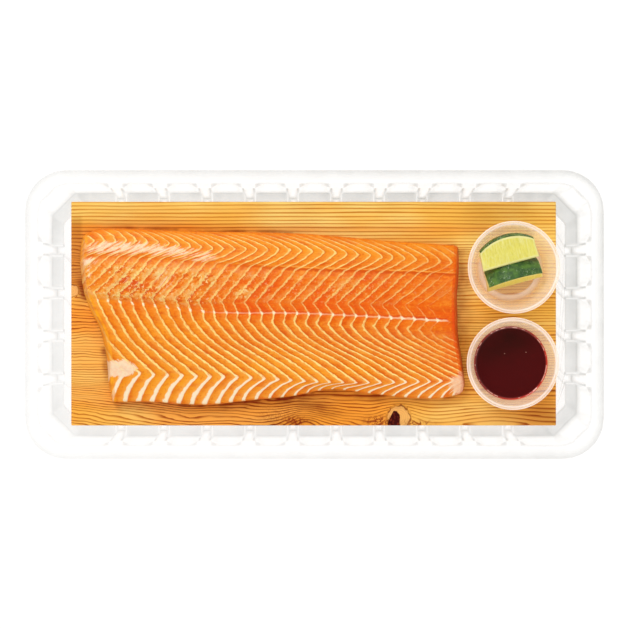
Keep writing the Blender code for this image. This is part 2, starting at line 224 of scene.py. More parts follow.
@dataclass
class Skin:
    """A mesh under construction: points in millimetres, faces, and values kept at each point."""

    name: str
    points: Array
    faces: Faces
    scalars: dict[str, Array] = field(default_factory=dict)
    vectors: dict[str, Array] = field(default_factory=dict)

    def make(self, material: bpy.types.Material, flip: bool = False) -> bpy.types.Object:
        """Puts the points, faces and values into a smooth-shaded mesh at the origin.

        Args:
            material: its finish.
            flip: whether the faces are turned round.

        Returns:
            The object, with its place in its mesh.
        """
        mesh = bpy.data.meshes.new(self.name)
        faces = [tuple(reversed(face)) for face in self.faces] if flip else self.faces
        mesh.from_pydata((self.points * MM).tolist(), [], faces)
        for name, values in self.scalars.items():
            layer = mesh.attributes.new(name, "FLOAT", "POINT")
            layer.data.foreach_set("value", np.asarray(values, np.float32).ravel())
        for name, values in self.vectors.items():
            layer = mesh.attributes.new(name, "FLOAT_VECTOR", "POINT")
            layer.data.foreach_set("vector", np.asarray(values, np.float32).ravel())
        mesh.materials.append(material)
        mesh.shade_smooth()
        mesh.update()
        obj = bpy.data.objects.new(self.name, mesh)
        bpy.context.scene.collection.objects.link(obj)
        return obj


def place(piece: bpy.types.Object, slot: str, *nodes: str) -> bpy.types.Object:
    """Lets a piece ride with the tray and hides the solids that it stands for.

    Args:
        piece: the piece.
        slot: not used.
        nodes: the solids that it replaces.

    Returns:
        The piece.
    """
    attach(piece, "root")
    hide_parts(*nodes)
    log.info("%s: %d faces", piece.name, len(piece.data.polygons))
    return piece


# Finishes


class Wire:
    """A socket of a material. Its sums and products add Math nodes, so a finish reads as a formula."""

    def __init__(self, bench: Bench, socket: bpy.types.NodeSocket) -> None:
        """Keeps the socket and the bench that it is on."""
        self.bench, self.socket = bench, socket

    def __add__(self, other: Value) -> Wire:
        """The sum of both."""
        return self.bench.math("ADD", self, other)

    def __sub__(self, other: Value) -> Wire:
        """The other taken from this."""
        return self.bench.math("SUBTRACT", self, other)

    def __rsub__(self, other: Value) -> Wire:
        """This taken from the other."""
        return self.bench.math("SUBTRACT", other, self)

    def __mul__(self, other: Value) -> Wire:
        """The product of both."""
        return self.bench.math("MULTIPLY", self, other)

    def __abs__(self) -> Wire:
        """The size without its sign."""
        return self.bench.math("ABSOLUTE", self)

    __radd__ = __add__
    __rmul__ = __mul__


Value = Wire | float


class Bench:
    """Adds and joins the nodes of one material or world."""

    def __init__(self, tree: bpy.types.NodeTree) -> None:
        """Starts with an empty node tree."""
        tree.nodes.clear()
        self.tree = tree

    @cached_property
    def object(self) -> Wire:
        """Object coordinates."""
        return self.add("ShaderNodeTexCoord", output="Object")

    def add(self, kind: str, inputs: dict | None = None, output: str | int = 0, **settings: object) -> Wire:
        """Adds a node, makes its settings and sets or joins its inputs.

        Args:
            kind: the node's type.
            inputs: value or wire for each input, by name or number.
            output: name or number of the output that is read.
            settings: the node's own properties.

        Returns:
            The output.
        """
        node = self.tree.nodes.new(kind)
        for key, value in settings.items():
            setattr(node, key, value)
        for key, value in (inputs or {}).items():
            socket = node.inputs[key]
            if isinstance(value, Wire):
                self.tree.links.new(value.socket, socket)
            elif socket.type == "RGBA" and len(value) == 3:
                socket.default_value = (*value, 1.0)
            else:
                socket.default_value = value
        return Wire(self, node.outputs[output] if node.outputs else None)

    def math(self, operation: str, *values: Value, clamp: bool = False) -> Wire:
        """One Math node's result."""
        return self.add("ShaderNodeMath", dict(enumerate(values)), operation=operation, use_clamp=clamp)

    def stretch(self, vector: Wire, scale: Span) -> Wire:
        """A vector with each part multiplied."""
        return self.add("ShaderNodeVectorMath", {0: vector, 1: scale}, operation="MULTIPLY")

    def join(self, x: Value, y: Value) -> Wire:
        """A flat vector of two parts."""
        return self.add("ShaderNodeCombineXYZ", {0: x, 1: y})

    def parts(self, vector: Wire) -> tuple[Wire, ...]:
        """The three parts of a vector."""
        x = self.add("ShaderNodeSeparateXYZ", {0: vector})
        return tuple(Wire(self, socket) for socket in x.socket.node.outputs)

    def vector(self, name: str) -> tuple[Wire, ...]:
        """The three numbers of a vector kept at the mesh's points."""
        return self.parts(self.add("ShaderNodeAttribute", output="Vector", attribute_name=name))

    def noise(
        self, vector: Wire, scale: float, detail: float = 3.0, rough: float = 0.5, bend: float = 0.0
    ) -> Wire:
        """Fractal noise from 0 to 1, centred on a half."""
        inputs = {"Vector": vector, "Scale": scale, "Detail": detail, "Roughness": rough, "Distortion": bend}
        return self.add("ShaderNodeTexNoise", inputs)

    def cells(self, vector: Wire, scale: float, feature: str = "F1", output: str = "Distance") -> Wire:
        """One output of a pattern of cells."""
        inputs = {"Vector": vector, "Scale": scale}
        return self.add("ShaderNodeTexVoronoi", inputs, output, feature=feature)

    def step(self, value: Wire, low: Value, high: Value, start: Value = 0.0, end: Value = 1.0) -> Wire:
        """A smooth step of a value: start below low, end above high."""
        inputs = {"Value": value, "From Min": low, "From Max": high, "To Min": start, "To Max": end}
        return self.add("ShaderNodeMapRange", inputs, interpolation_type="SMOOTHSTEP")

    def fall(self, value: Wire, low: Value, high: Value, start: Value = 1.0) -> Wire:
        """A smooth step down: start below low, 0 above high."""
        return self.step(value, low, high, start, 0.0)

    def mix(self, factor: Value, low: Wire | Paint, high: Wire | Paint) -> Wire:
        """Two colours mixed by a factor."""
        inputs = {0: factor, 6: low, 7: high}
        return self.add("ShaderNodeMix", inputs, 2, data_type="RGBA", clamp_factor=True)

    def ramp(self, factor: Wire, stops: tuple[tuple[float, Paint], ...]) -> Wire:
        """A colour read from stops of (place, colour).

        Args:
            factor: where it is read.
            stops: the stops, in order of place.

        Returns:
            The colour.
        """
        colour = self.add("ShaderNodeValToRGB", {0: factor})
        band = colour.socket.node.color_ramp.elements
        while len(band) < len(stops):
            band.new(0.5)
        for element, (position, paint_) in zip(band, stops):
            element.position = position
            element.color = (*paint_, 1.0)
        return colour

    def bump(self, height: Wire, strength: float, distance_mm: float, after: Wire | None = None) -> Wire:
        """A bumped normal, over another one where it is given."""
        inputs = {"Height": height, "Strength": strength, "Distance": distance_mm * MM}
        if after is not None:
            inputs["Normal"] = after
        return self.add("ShaderNodeBump", inputs)

    def principled(self, **inputs: object) -> Wire:
        """A Principled shader; an underscore in a name stands for a space."""
        named = {key.replace("_", " "): value for key, value in inputs.items()}
        return self.add("ShaderNodeBsdfPrincipled", named)


class Finish:
    """A material: each kind has a name and shades itself on a bench."""

    name: str

    def material(self) -> bpy.types.Material:
        """The material."""
        material = bpy.data.materials.new(self.name)
        material.use_nodes = True
        b = Bench(material.node_tree)
        b.add("ShaderNodeOutputMaterial", {"Surface": self.shade(b)})
        return material

    def shade(self, b: Bench) -> Wire:
        """The finish's shader."""
        raise NotImplementedError


class FleshSite:
    """What the flesh's tones follow at each point: the mesh's values, and noises that kink them."""

    def __init__(self, b: Bench) -> None:
        """Reads flake (fat line number, half width, strength), tint (pale, red, golden), site (torn,
        midline, cut) and weave (across and along the fibres, belly fat) from the mesh."""
        self.phase, self.half, self.strength = b.vector("flake")
        self.pale, self.red, self.golden = b.vector("tint")
        self.torn, self.midline, self.cut = b.vector("site")
        across, self.along, self.fatty = b.vector("weave")
        self.x = b.parts(b.object)[0]
        self.fine = b.noise(b.object, 620.0, 3.0, 0.6)
        self.crumb = b.noise(b.object, 520.0, 4.0, 0.65)
        self.kink = b.noise(b.object, 330.0, 2.0) - 0.5
        # A fat line wanders about its place, most where the flesh is torn and least in the belly.
        broad = b.noise(b.object, 150.0, 3.0)
        lean = 1.0 - self.fatty * 0.7
        shake = self.torn * 0.7 + lean * 0.16
        wander = broad * 0.26 - 0.13 + (self.fine - 0.5) * shake + self.kink * (lean * 0.26)
        self.spot = self.phase + wander
        self.side = b.math("FRACT", self.spot)
        self.distance = b.math("PINGPONG", self.spot, 0.5)
        self.wide = self.half * b.step(broad, 0.25, 0.75, 0.75, 1.25)
        broken = b.step(b.noise(b.object, 240.0, 4.0, 0.6), 0.34, 0.54, 0.5, 1.0)
        line = b.fall(self.distance, self.wide * 0.6, self.wide * 1.25) * self.strength
        self.line = line * b.math("MAXIMUM", broken, self.fatty)
        # Fibres run across each flake, and each flake has its own tone along the fillet.
        self.fibre_at = b.join(across, self.along)
        self.fibre = b.noise(self.fibre_at, 1.0, 4.0, 0.6)
        self.clump = b.noise(b.stretch(self.fibre_at, (1.0, 0.3, 1.0)), 1.0, 5.0, 0.68, 0.5)
        self.tone = b.noise(b.join(b.math("FLOOR", self.spot) * 3.7, self.along * 0.13), 1.0, 2.0)


@dataclass(frozen=True)
class FleshFinish(Finish):
    """Raw salmon: orange flakes between pale fat lines, moist, redder along the midline, with some light
    and shade painted on.
    """

    name: str = "salmon_flesh"
    deep: Paint = paint(220, 85, 8)
    middle: Paint = paint(237, 121, 12)
    light: Paint = paint(248, 158, 44)
    red: Paint = paint(238, 76, 12)
    golden: Paint = paint(254, 168, 30)
    fat: Paint = paint(255, 224, 136)
    belly_fat: Paint = paint(255, 232, 196)
    pale: Paint = paint(255, 214, 176)
    cream: Paint = paint(255, 226, 190)
    cut: Paint = paint(216, 62, 16)
    crease_shade: Paint = paint(206, 84, 10)
    lit: Paint = paint(255, 174, 74)
    lit_red: Paint = paint(250, 132, 28)
    cleft_shade_and_tone: Paint = paint(214, 84, 12)
    tuft: Paint = paint(255, 226, 160)
    thread: Paint = paint(255, 238, 200)
    shreds: tuple[tuple[float, Paint], ...] = (
        (0.42, paint(228, 84, 10)), (0.56, paint(238, 124, 24)), (0.7, paint(248, 166, 64)),
        (0.9, paint(250, 204, 128)),
    )

    def shade(self, b: Bench) -> Wire:
        """The finish's shader: its tones in layers, then its gloss and fine relief."""
        site = FleshSite(b)
        flesh = self.torn(b, site, self.flakes(b, site))
        flesh = self.folded(b, site, self.skin_fat(b, site, flesh))
        # Fat lines over all but the pale skin fat.
        bare = b.step(site.pale, 0.3, 0.8, 1.0, b.step(site.x, 0.0, 0.05, 0.3, 0.04))
        line = b.math("MULTIPLY_ADD", site.line * site.torn, 0.3, site.line, clamp=True)
        flesh = b.mix(line * bare, flesh, b.mix(site.fatty, self.fat, self.belly_fat))
        flesh = self.seamed(b, site, flesh)
        flesh = b.mix(site.cut * 0.85, flesh, self.cut)
        normal = b.bump(line * 0.08 + site.fibre * 0.5, 0.6, 0.45)
        lumps = (site.clump + site.fine * 0.6) * (site.torn + (site.pale * 0.3 + 0.12))
        return b.principled(
            Base_Color=flesh, Roughness=site.torn * 0.1 + b.step(site.fine, 0.3, 0.7, 0.3, 0.42),
            Normal=b.bump(lumps, 1.0, 1.0, normal), Specular_IOR_Level=0.12, Coat_Weight=0.03,
            Coat_Roughness=0.1, Subsurface_Weight=0.04, Subsurface_Radius=(0.006, 0.0022, 0.001),
            Subsurface_Scale=0.5,
        )

    def flakes(self, b: Bench, site: FleshSite) -> Wire:
        """The flakes' own tones: fibres, red and golden stretches, a fine mottle, and painted light and
        shade: a side that takes the light, and a darker band just behind each fat line.

        Args:
            b: the bench.
            site: what the tones follow.

        Returns:
            The colour.
        """
        slow = b.noise(b.object, 55.0, 2.0)
        stops = ((0.34, self.deep), (0.5, self.middle), (0.66, self.light))
        flesh = b.ramp(site.fibre * 0.6 + slow * 0.4, stops)
        flesh = b.mix(site.red * 0.8, flesh, self.red)
        flesh = b.mix(site.golden * 0.75, flesh, self.golden)
        flesh = b.mix(b.step(site.tone, 0.5, 0.68, 0.0, 0.5), flesh, self.deep)
        mottle = b.noise(b.object, 430.0, 4.0, 0.65)
        flesh = b.mix(b.fall(mottle, 0.36, 0.46, 0.42), flesh, self.deep)
        flesh = b.mix(b.step(mottle, 0.54, 0.66, 0.0, 0.42), flesh, self.light)
        # Painted light: each flake is lighter on its side towards the next fat line.
        lit = b.step(site.side, 0.4, 0.85) * (site.strength * 0.78)
        lit = lit * b.step(site.clump + site.tone * 0.5, 0.6, 0.95, 0.4, 1.0)
        flesh = b.mix(lit, flesh, b.mix(site.red, self.lit, self.lit_red))
        # Painted shade: darker just behind each fat line, where the flake dips.
        edge = b.fall(site.side, site.wide * 0.9, site.wide * 3.4) * (site.fatty * -0.35 + 0.7)
        return b.mix(edge * site.strength, flesh, self.crease_shade)

    def torn(self, b: Bench, site: FleshSite, flesh: Wire) -> Wire:
        """Torn fibres: ragged fingers with pale rims, a painted highlight, deep clefts between them,
        darkened as painted shade, and loose tufts.

        Args:
            b: the bench.
            site: what the tones follow.
            flesh: the colour so far.

        Returns:
            The colour with them.
        """
        finger = site.side * 0.34 + site.clump * 1.1 + (site.crumb * 0.5 - 0.25)
        finger = finger + (site.tone * 1.1 - 0.52) - site.red * 0.32
        flesh = b.mix(site.torn * 0.92, flesh, b.ramp(finger, self.shreds))
        # Painted shade darkens the clefts between the fingers; the dark crumbs below take the same colour.
        rift = b.fall(site.side, 0.08, 0.34) * b.step(site.clump, 0.46, 0.62, 1.0, 0.4)
        flesh = b.mix(rift * site.torn * 0.95, flesh, self.cleft_shade_and_tone)
        flesh = b.mix(b.fall(site.crumb, 0.36, 0.43, 0.6) * site.torn, flesh, self.cleft_shade_and_tone)
        return b.mix(b.step(site.crumb, 0.57, 0.63, 0.0, 0.8) * site.torn, flesh, self.tuft)

    def skin_fat(self, b: Bench, site: FleshSite, flesh: Wire) -> Wire:
        """Pale skin fat: smooth where it is thick, streaked with orange along the fibres at its edge
        and slit between the flakes.

        Args:
            b: the bench.
            site: what the tones follow.
            flesh: the colour so far.

        Returns:
            The colour with it.
        """
        streaks = b.noise(b.stretch(site.fibre_at, (2.0, 0.12, 1.0)), 1.0, 5.0, 0.65, 0.6)
        ragged = (streaks - 0.5) * 3.6 + site.pale
        over = b.step(ragged, 0.25, 0.8) * b.step(site.pale, 0.02, 0.3)
        cream = b.mix(b.step(site.crumb, 0.4, 0.6), self.pale, self.cream)
        flesh = b.mix(over * b.step(site.x, 0.0, 0.06, 0.95, 0.72), flesh, cream)
        slit = b.math("PINGPONG", site.clump * 1.2 + site.spot, 0.5)
        slit = b.fall(slit, 0.04, 0.16) * b.step(site.pale, 0.2, 0.5) * b.fall(site.along, 34.0, 38.0, 0.65)
        return b.mix(slit * b.step(site.fibre, 0.4, 0.6, 1.0, 0.3), flesh, self.middle)

    def folded(self, b: Bench, site: FleshSite, flesh: Wire) -> Wire:
        """The fold: a groove darkened as painted shade, with a broken pale line above it as a painted
        highlight, from the middle to the right cut.

        Args:
            b: the bench.
            site: what the tones follow.
            flesh: the colour so far.

        Returns:
            The colour with it.
        """
        # Painted shade in the groove, and a painted highlight on a broken line just above it.
        fold = site.kink * 2.6 + (site.along - 32.0)
        flesh = b.mix(b.fall(abs(fold), 0.3, 1.3) * b.step(site.x, -0.07, 0.0, 0.25, 0.9), flesh, self.cleft_shade_and_tone)
        rim = b.fall(abs(fold + 1.9), 0.2, 0.8) * b.step(site.x, -0.06, 0.01, 0.0, 0.8)
        rim = rim * b.step(b.noise(b.object, 130.0, 2.0), 0.4, 0.55, 0.1, 1.0)
        return b.mix(rim, flesh, self.lit)

    def seamed(self, b: Bench, site: FleshSite, flesh: Wire) -> Wire:
        """The midline: a thin pale thread with a bright knuckle where each fat line meets it, over a
        thin shadow.

        Args:
            b: the bench.
            site: what the tones follow.
            flesh: the colour so far.

        Returns:
            The colour with it.
        """
        below = (site.side - 0.5) * 0.8 + (site.kink * 2.4 + (site.along - 64.4))
        off = abs(below)
        tick = b.fall(site.distance, 0.05, 0.25)
        thick = site.midline * 1.4 + 0.5
        # Painted shadow beside the thread, in the cut colour.
        shadow = b.step(below, -4.0, -2.4) * b.fall(below, -2.2, -1.0)
        flesh = b.mix(shadow * b.step(site.midline, 0.4, 1.0, 0.0, 0.8), flesh, self.cut)
        thread = b.fall(off, thick * 0.4, thick) * (tick * 0.5 + 0.5) * b.step(site.midline, 0.2, 1.0)
        knuckle = b.fall(off, 1.2, 3.4) * b.fall(site.distance, 0.04, 0.15, 0.95)
        knuckle = knuckle * b.fall(site.x, 0.0868, 0.0885) * b.step(site.midline, 0.0, 0.25)
        return b.mix(b.math("MAXIMUM", thread, knuckle), flesh, self.thread)


@dataclass(frozen=True)
class CedarFinish(Finish):
    """Sawn cedar: pale early wood between thin dark late-wood lines, with knots, and red stains that partly
    paint shade at the fillet's edges.
    """

    name: str = "cedar_wood"
    early: Paint = paint(255, 225, 130)
    middle: Paint = paint(255, 197, 86)
    late: Paint = paint(206, 118, 26)
    late_warm: Paint = paint(150, 46, 2)
    warm: Paint = paint(246, 136, 20)
    brown: Paint = paint(128, 58, 18)
    burnt: Paint = paint(112, 24, 8)
    juice_and_shade: Paint = paint(128, 8, 0)
    peach: Paint = paint(250, 190, 112)
    scrawl: Paint = paint(134, 44, 16)
    char: Paint = paint(62, 8, 8)
    heart: Paint = paint(140, 52, 26)

    def shade(self, b: Bench) -> Wire:
        """The finish's shader. It reads ring (ring number, warmth, brown), knot (distance from its
        middle in radii, strength, depth inside its split heart) and juice_and_shade (seeping stain and
        painted shade, scrawl, burnt) from the mesh."""
        ring, warmth, brown = b.vector("ring")
        near, core, split = b.vector("knot")
        wet_and_shade, scrawl, burnt = b.vector("juice_and_shade")
        fibres = b.noise(b.stretch(b.object, (18.0, 900.0, 900.0)), 1.0, 4.0, 0.6)
        streak = b.noise(b.stretch(b.object, (6.0, 180.0, 180.0)), 1.0, 3.0)
        cloud = b.noise(b.stretch(b.object, (14.0, 45.0, 45.0)), 1.0, 2.0)
        turn = b.math("FRACT", (fibres - 0.5) * 0.35 + ring)
        late = b.step(turn, 0.42, 0.84) * b.fall(turn, 0.88, 0.98) * b.step(streak, 0.28, 0.55, 0.5, 1.0)
        wood = b.mix(b.step(cloud, 0.3, 0.7), self.early, self.middle)
        wood = b.mix(b.step(fibres, 0.45, 0.75) * 0.45, wood, self.middle)
        wood = b.mix(warmth * 0.68, wood, self.warm)
        wood = b.mix(late * 0.92, wood, b.mix(warmth, self.late, self.late_warm))
        wood = b.mix(brown * b.step(fibres, 0.3, 0.6, 0.55, 1.0), wood, self.brown)
        wood = b.mix(burnt * b.step(late, 0.15, 0.6), wood, self.burnt)
        # Knots: a peach disc in a thin broken outline, short scrawls beside it, and a split heart.
        ragged = b.noise(b.object, 260.0, 3.0, 0.6) - 0.5
        edge = ragged * 0.7 + near
        wood = b.mix(b.fall(edge, 0.94, 1.02) * core * 0.8, wood, self.peach)
        outline = b.step(edge, 0.94, 1.0) * b.fall(edge, 1.06, 1.16)
        outline = outline * b.step(b.noise(b.object, 170.0, 2.0), 0.4, 0.5, 0.2, 1.0)
        contour = abs(b.noise(b.object, 330.0, 3.0, 0.6) - 0.5)
        scrawl = scrawl * b.step(contour, 0.015, 0.07, 1.0, 0.15)
        wood = b.mix(b.math("MAXIMUM", outline * core, scrawl), wood, self.scrawl)
        # Dark red along the fillet's edges: part seeping stain, part painted contact shadow.
        wood = b.mix(wet_and_shade * b.step(fibres, 0.25, 0.6, 1.0, 0.75), wood, self.juice_and_shade)
        heart = b.mix(b.step(b.noise(b.object, 700.0, 3.0), 0.52, 0.68), self.char, self.heart)
        crack = b.step(ragged * 3.0 + split, 0.0, 0.5)
        normal = b.bump(late * 0.6 + fibres * 0.5 - crack * 2.0, 0.6, 0.25)
        wood = b.mix(crack, wood, heart)
        return b.principled(Base_Color=wood, Roughness=0.62, Normal=normal, Specular_IOR_Level=0.06)


@dataclass(frozen=True)
class ClearSheetFinish(Finish):
    """Thin clear plastic: mostly see-through, whiter and denser edge on, and denser along its folds, where
    the tray's dark fold tint paints lines of shade. With lean, it is denser towards its far right corner,
    as painted shade."""

    name: str
    tint: Paint
    fold_tint_and_shade: Paint
    open_share: float
    fold_share: float
    edge_share: float
    roughness: float
    through_tint: Paint = (1.0, 1.0, 1.0)
    glow_share: float = 0.45
    painted_glow: float = 0.0
    lean: float = 0.0
    corner: float = 0.33

    def shade(self, b: Bench) -> Wire:
        """The finish's shader. It reads fold, how sharply the sheet bends, from the mesh."""
        fold = b.add("ShaderNodeAttribute", output="Fac", attribute_name="fold")
        facing = b.add("ShaderNodeLayerWeight", {"Blend": 0.35}, "Facing")
        x, y, _ = b.parts(b.object)
        share = fold * self.fold_share + self.open_share
        share = share + b.math("POWER", facing, 2.5) * self.edge_share
        # Painted shade: the sheet is denser, so greyer, towards its far right corner.
        share = share * b.step(y * 1.5 + x, -self.corner, self.corner, 1.0 - self.lean, 1.0 + self.lean)
        haze = b.step(b.noise(b.object, 70.0, 3.0), 0.25, 0.75, 0.85, 1.15)
        share = b.math("MULTIPLY", share, haze, clamp=True)
        # Folds take the fold tint; on the tray it is a dark grey, painted shade lines along each fold.
        colour = b.mix(fold, self.tint, self.fold_tint_and_shade)
        normal = b.bump(b.noise(b.object, 260.0, 2.0), 0.12, 0.3)
        # The emission is painted light: a faint glow in the sheet's own colours.
        solid = b.principled(
            Base_Color=colour, Roughness=self.roughness, Normal=normal, Specular_IOR_Level=0.6,
            Emission_Color=colour, Emission_Strength=self.painted_glow,
        )
        glow = b.add("ShaderNodeBsdfTranslucent", {"Color": colour, "Normal": normal})
        solid = b.add("ShaderNodeMixShader", {0: self.glow_share, 1: solid, 2: glow})
        clear = b.add("ShaderNodeBsdfTransparent", {"Color": self.through_tint})
        return b.add("ShaderNodeMixShader", {0: share, 1: clear, 2: solid})


@dataclass(frozen=True)
class GlazeFinish(Finish):
    """Dark glaze: nearly black maroon where deep and redder where it thins at the pot's wall."""

    name: str = "glaze_liquid"
    deep: Paint = paint(76, 15, 16)
    dark: Paint = paint(40, 18, 12)
    thin: Paint = paint(214, 44, 4)
    foam_and_highlight: Paint = paint(246, 190, 170)

    def shade(self, b: Bench) -> Wire:
        """The finish's shader. It reads shallow_and_shade (share of the way to the wall, painted shade, how
        thin the glaze is at the wall) from the mesh."""
        rim, shadow, thin = b.vector("shallow_and_shade")
        cloud = b.step(b.noise(b.object, 60.0, 3.0), 0.3, 0.6, 0.5, 1.0)
        # Painted shadow of the pot's wall over the glaze's upper left.
        colour = b.mix(shadow * cloud, self.deep, self.dark)
        colour = b.mix(b.step(rim, 0.955, 1.0) * thin, colour, self.thin)
        colour = b.mix(b.step(rim, 0.93, 0.99, 0.0, 0.35), colour, self.thin)
        # Thin bright arcs along the wall, a painted highlight on the meniscus, and a few pale bubble
        # specks on the surface.
        arc = b.step(rim, 0.962, 0.972) * b.fall(rim, 0.978, 0.99)
        arc = arc * b.step(b.noise(b.object, 190.0, 4.0), 0.5, 0.58)
        few = b.add("ShaderNodeSeparateColor", {0: b.cells(b.object, 210.0, output="Color")})
        speck = b.fall(b.cells(b.object, 210.0), 0.045, 0.07) * b.step(few, 0.86, 0.9)
        colour = b.mix(b.math("MAXIMUM", arc * 0.85, speck * 0.6), colour, self.foam_and_highlight)
        return b.principled(Base_Color=colour, Roughness=0.07, Specular_IOR_Level=0.5)


@dataclass(frozen=True)
class LimeFinish(Finish):
    """Lime: dark waxy green rind with oil pits, pale pith, and juicy yellow-green flesh."""

    name: str = "lime_wedge"
    rind: Paint = paint(34, 78, 24)
    rind_light: Paint = paint(86, 130, 44)
    glint: Paint = paint(206, 226, 190)
    pith: Paint = paint(244, 238, 156)
    flesh: Paint = paint(224, 210, 72)
    vesicle: Paint = paint(236, 226, 96)
    ray: Paint = paint(246, 242, 168)
    gap: Paint = paint(206, 196, 60)

    def shade(self, b: Bench) -> Wire:
        """The finish's shader. It reads peel (depth under the rind in millimetres, place along the
        wedge, way out from the core edge) from the mesh."""
        depth, along, out = b.vector("peel")
        pits = b.cells(b.object, 950.0)
        green = b.mix(b.step(b.noise(b.object, 260.0, 3.0), 0.35, 0.7), self.rind, self.rind_light)
        green = b.mix(b.fall(pits, 0.0, 0.45, 0.35), green, self.rind_light)
        # Painted glints: small pale specks in one patch of the rind.
        glints = b.step(b.noise(b.object, 1300.0, 2.0), 0.6, 0.66)
        glints = glints * b.step(b.noise(b.object, 140.0, 2.0), 0.48, 0.58)
        green = b.mix(glints * 0.7, green, self.glint)
        # Juice sacs: long cells and rays that point from the core edge to the rind.
        sac_at = b.join(along, out * 0.4)
        sacs = b.cells(sac_at, 9.0, "SMOOTH_F1")
        walls = b.cells(sac_at, 3.0, "DISTANCE_TO_EDGE")
        rays = b.noise(b.join(along * 9.0, out), 1.0, 3.0, 0.6)
        pulp = b.mix(b.step(sacs, 0.1, 0.6, 0.55, 1.0), self.flesh, self.vesicle)
        pulp = b.mix(b.fall(walls, 0.0, 0.05, 0.4), pulp, self.pith)
        pulp = b.mix(b.step(rays, 0.5, 0.68, 0.0, 0.55), pulp, self.ray)
        pulp = b.mix(b.fall(rays, 0.34, 0.46, 0.4), pulp, self.gap)
        pulp = b.mix(b.fall(out, 0.1, 0.22, 0.85), pulp, self.pith)
        pulp = b.mix(b.step(abs(along), 1.78, 1.9, 0.0, 0.75), pulp, self.pith)
        colour = b.mix(b.step(depth, 0.35, 0.75), green, b.mix(b.step(depth, 1.5, 2.6), self.pith, pulp))
        inside = b.step(depth, 0.4, 1.8)
        height = inside * (sacs * 0.4) + b.step(pits, 0.0, 0.4, 0.0, 0.4)
        scratch = b.noise(b.object, 900.0, 3.0, 0.7) * b.step(inside, 0.0, 0.3, 2.4, 0.1)
        return b.principled(
            Base_Color=colour, Roughness=0.36, Normal=b.bump(height + scratch, 0.8, 0.35),
            Specular_IOR_Level=0.35, Coat_Weight=0.12, Coat_Roughness=0.3, Subsurface_Weight=0.1,
            Subsurface_Radius=(0.003, 0.003, 0.001), Subsurface_Scale=0.5,
        )


@dataclass(frozen=True)
class FloorFinish(Finish):
    """Plain pale floor, faintly lit from beneath like a light table."""

    name: str = "pale_floor"
    colour: Paint = (0.16, 0.16, 0.159)
    glow_colour: Paint = (1.0, 0.995, 0.985)
    glow: float = 0.91

    def shade(self, b: Bench) -> Wire:
        """The finish's shader."""
        return b.principled(
            Base_Color=self.colour, Roughness=0.9, Specular_IOR_Level=0.1,
            Emission_Color=self.glow_colour, Emission_Strength=self.glow,
        )


# The tray


class Stop(Enum):
    """What a column of the tray's wall stands on."""

    BAY = "bay"
    FLANK = "flank"
    RIB = "rib"
    CORNER = "corner"


Place = tuple[int, float, Stop]


def inset(half: Pair, inward: float) -> Pair:
    """Half sizes, each less the same amount."""
    return (half[0] - inward, half[1] - inward)


@dataclass(frozen=True)
class Level:
    """A bend that runs round the tray: its half sizes, its height, what each corner takes off, and
    whether the corner is straight rather than round."""

    half: Pair
    z: float
    corner: float
    straight: bool = True

    def at(self, stop: Place, reach: float) -> Span:
        """The bend's point at one stop.

        Args:
            stop: the stop.
            reach: how far from a side's middle its last stop lies.

        Returns:
            The point.
        """
        side, at, kind = stop
        along, across, corner = self.half[side % 2], self.half[1 - side % 2], self.corner
        if kind is not Stop.CORNER:
            a, o = (at * min(1.0, (along - corner) / reach) if abs(at) == reach else at), across
        elif self.straight:
            a, o = along - corner * (1 - at), across - corner * at
        else:
            angle = at * math.pi / 2
            a, o = along - corner + corner * math.sin(angle), across - corner + corner * math.cos(angle)
        return (*[(a, -o), (o, a), (-a, o), (-o, -a)][side], self.z)


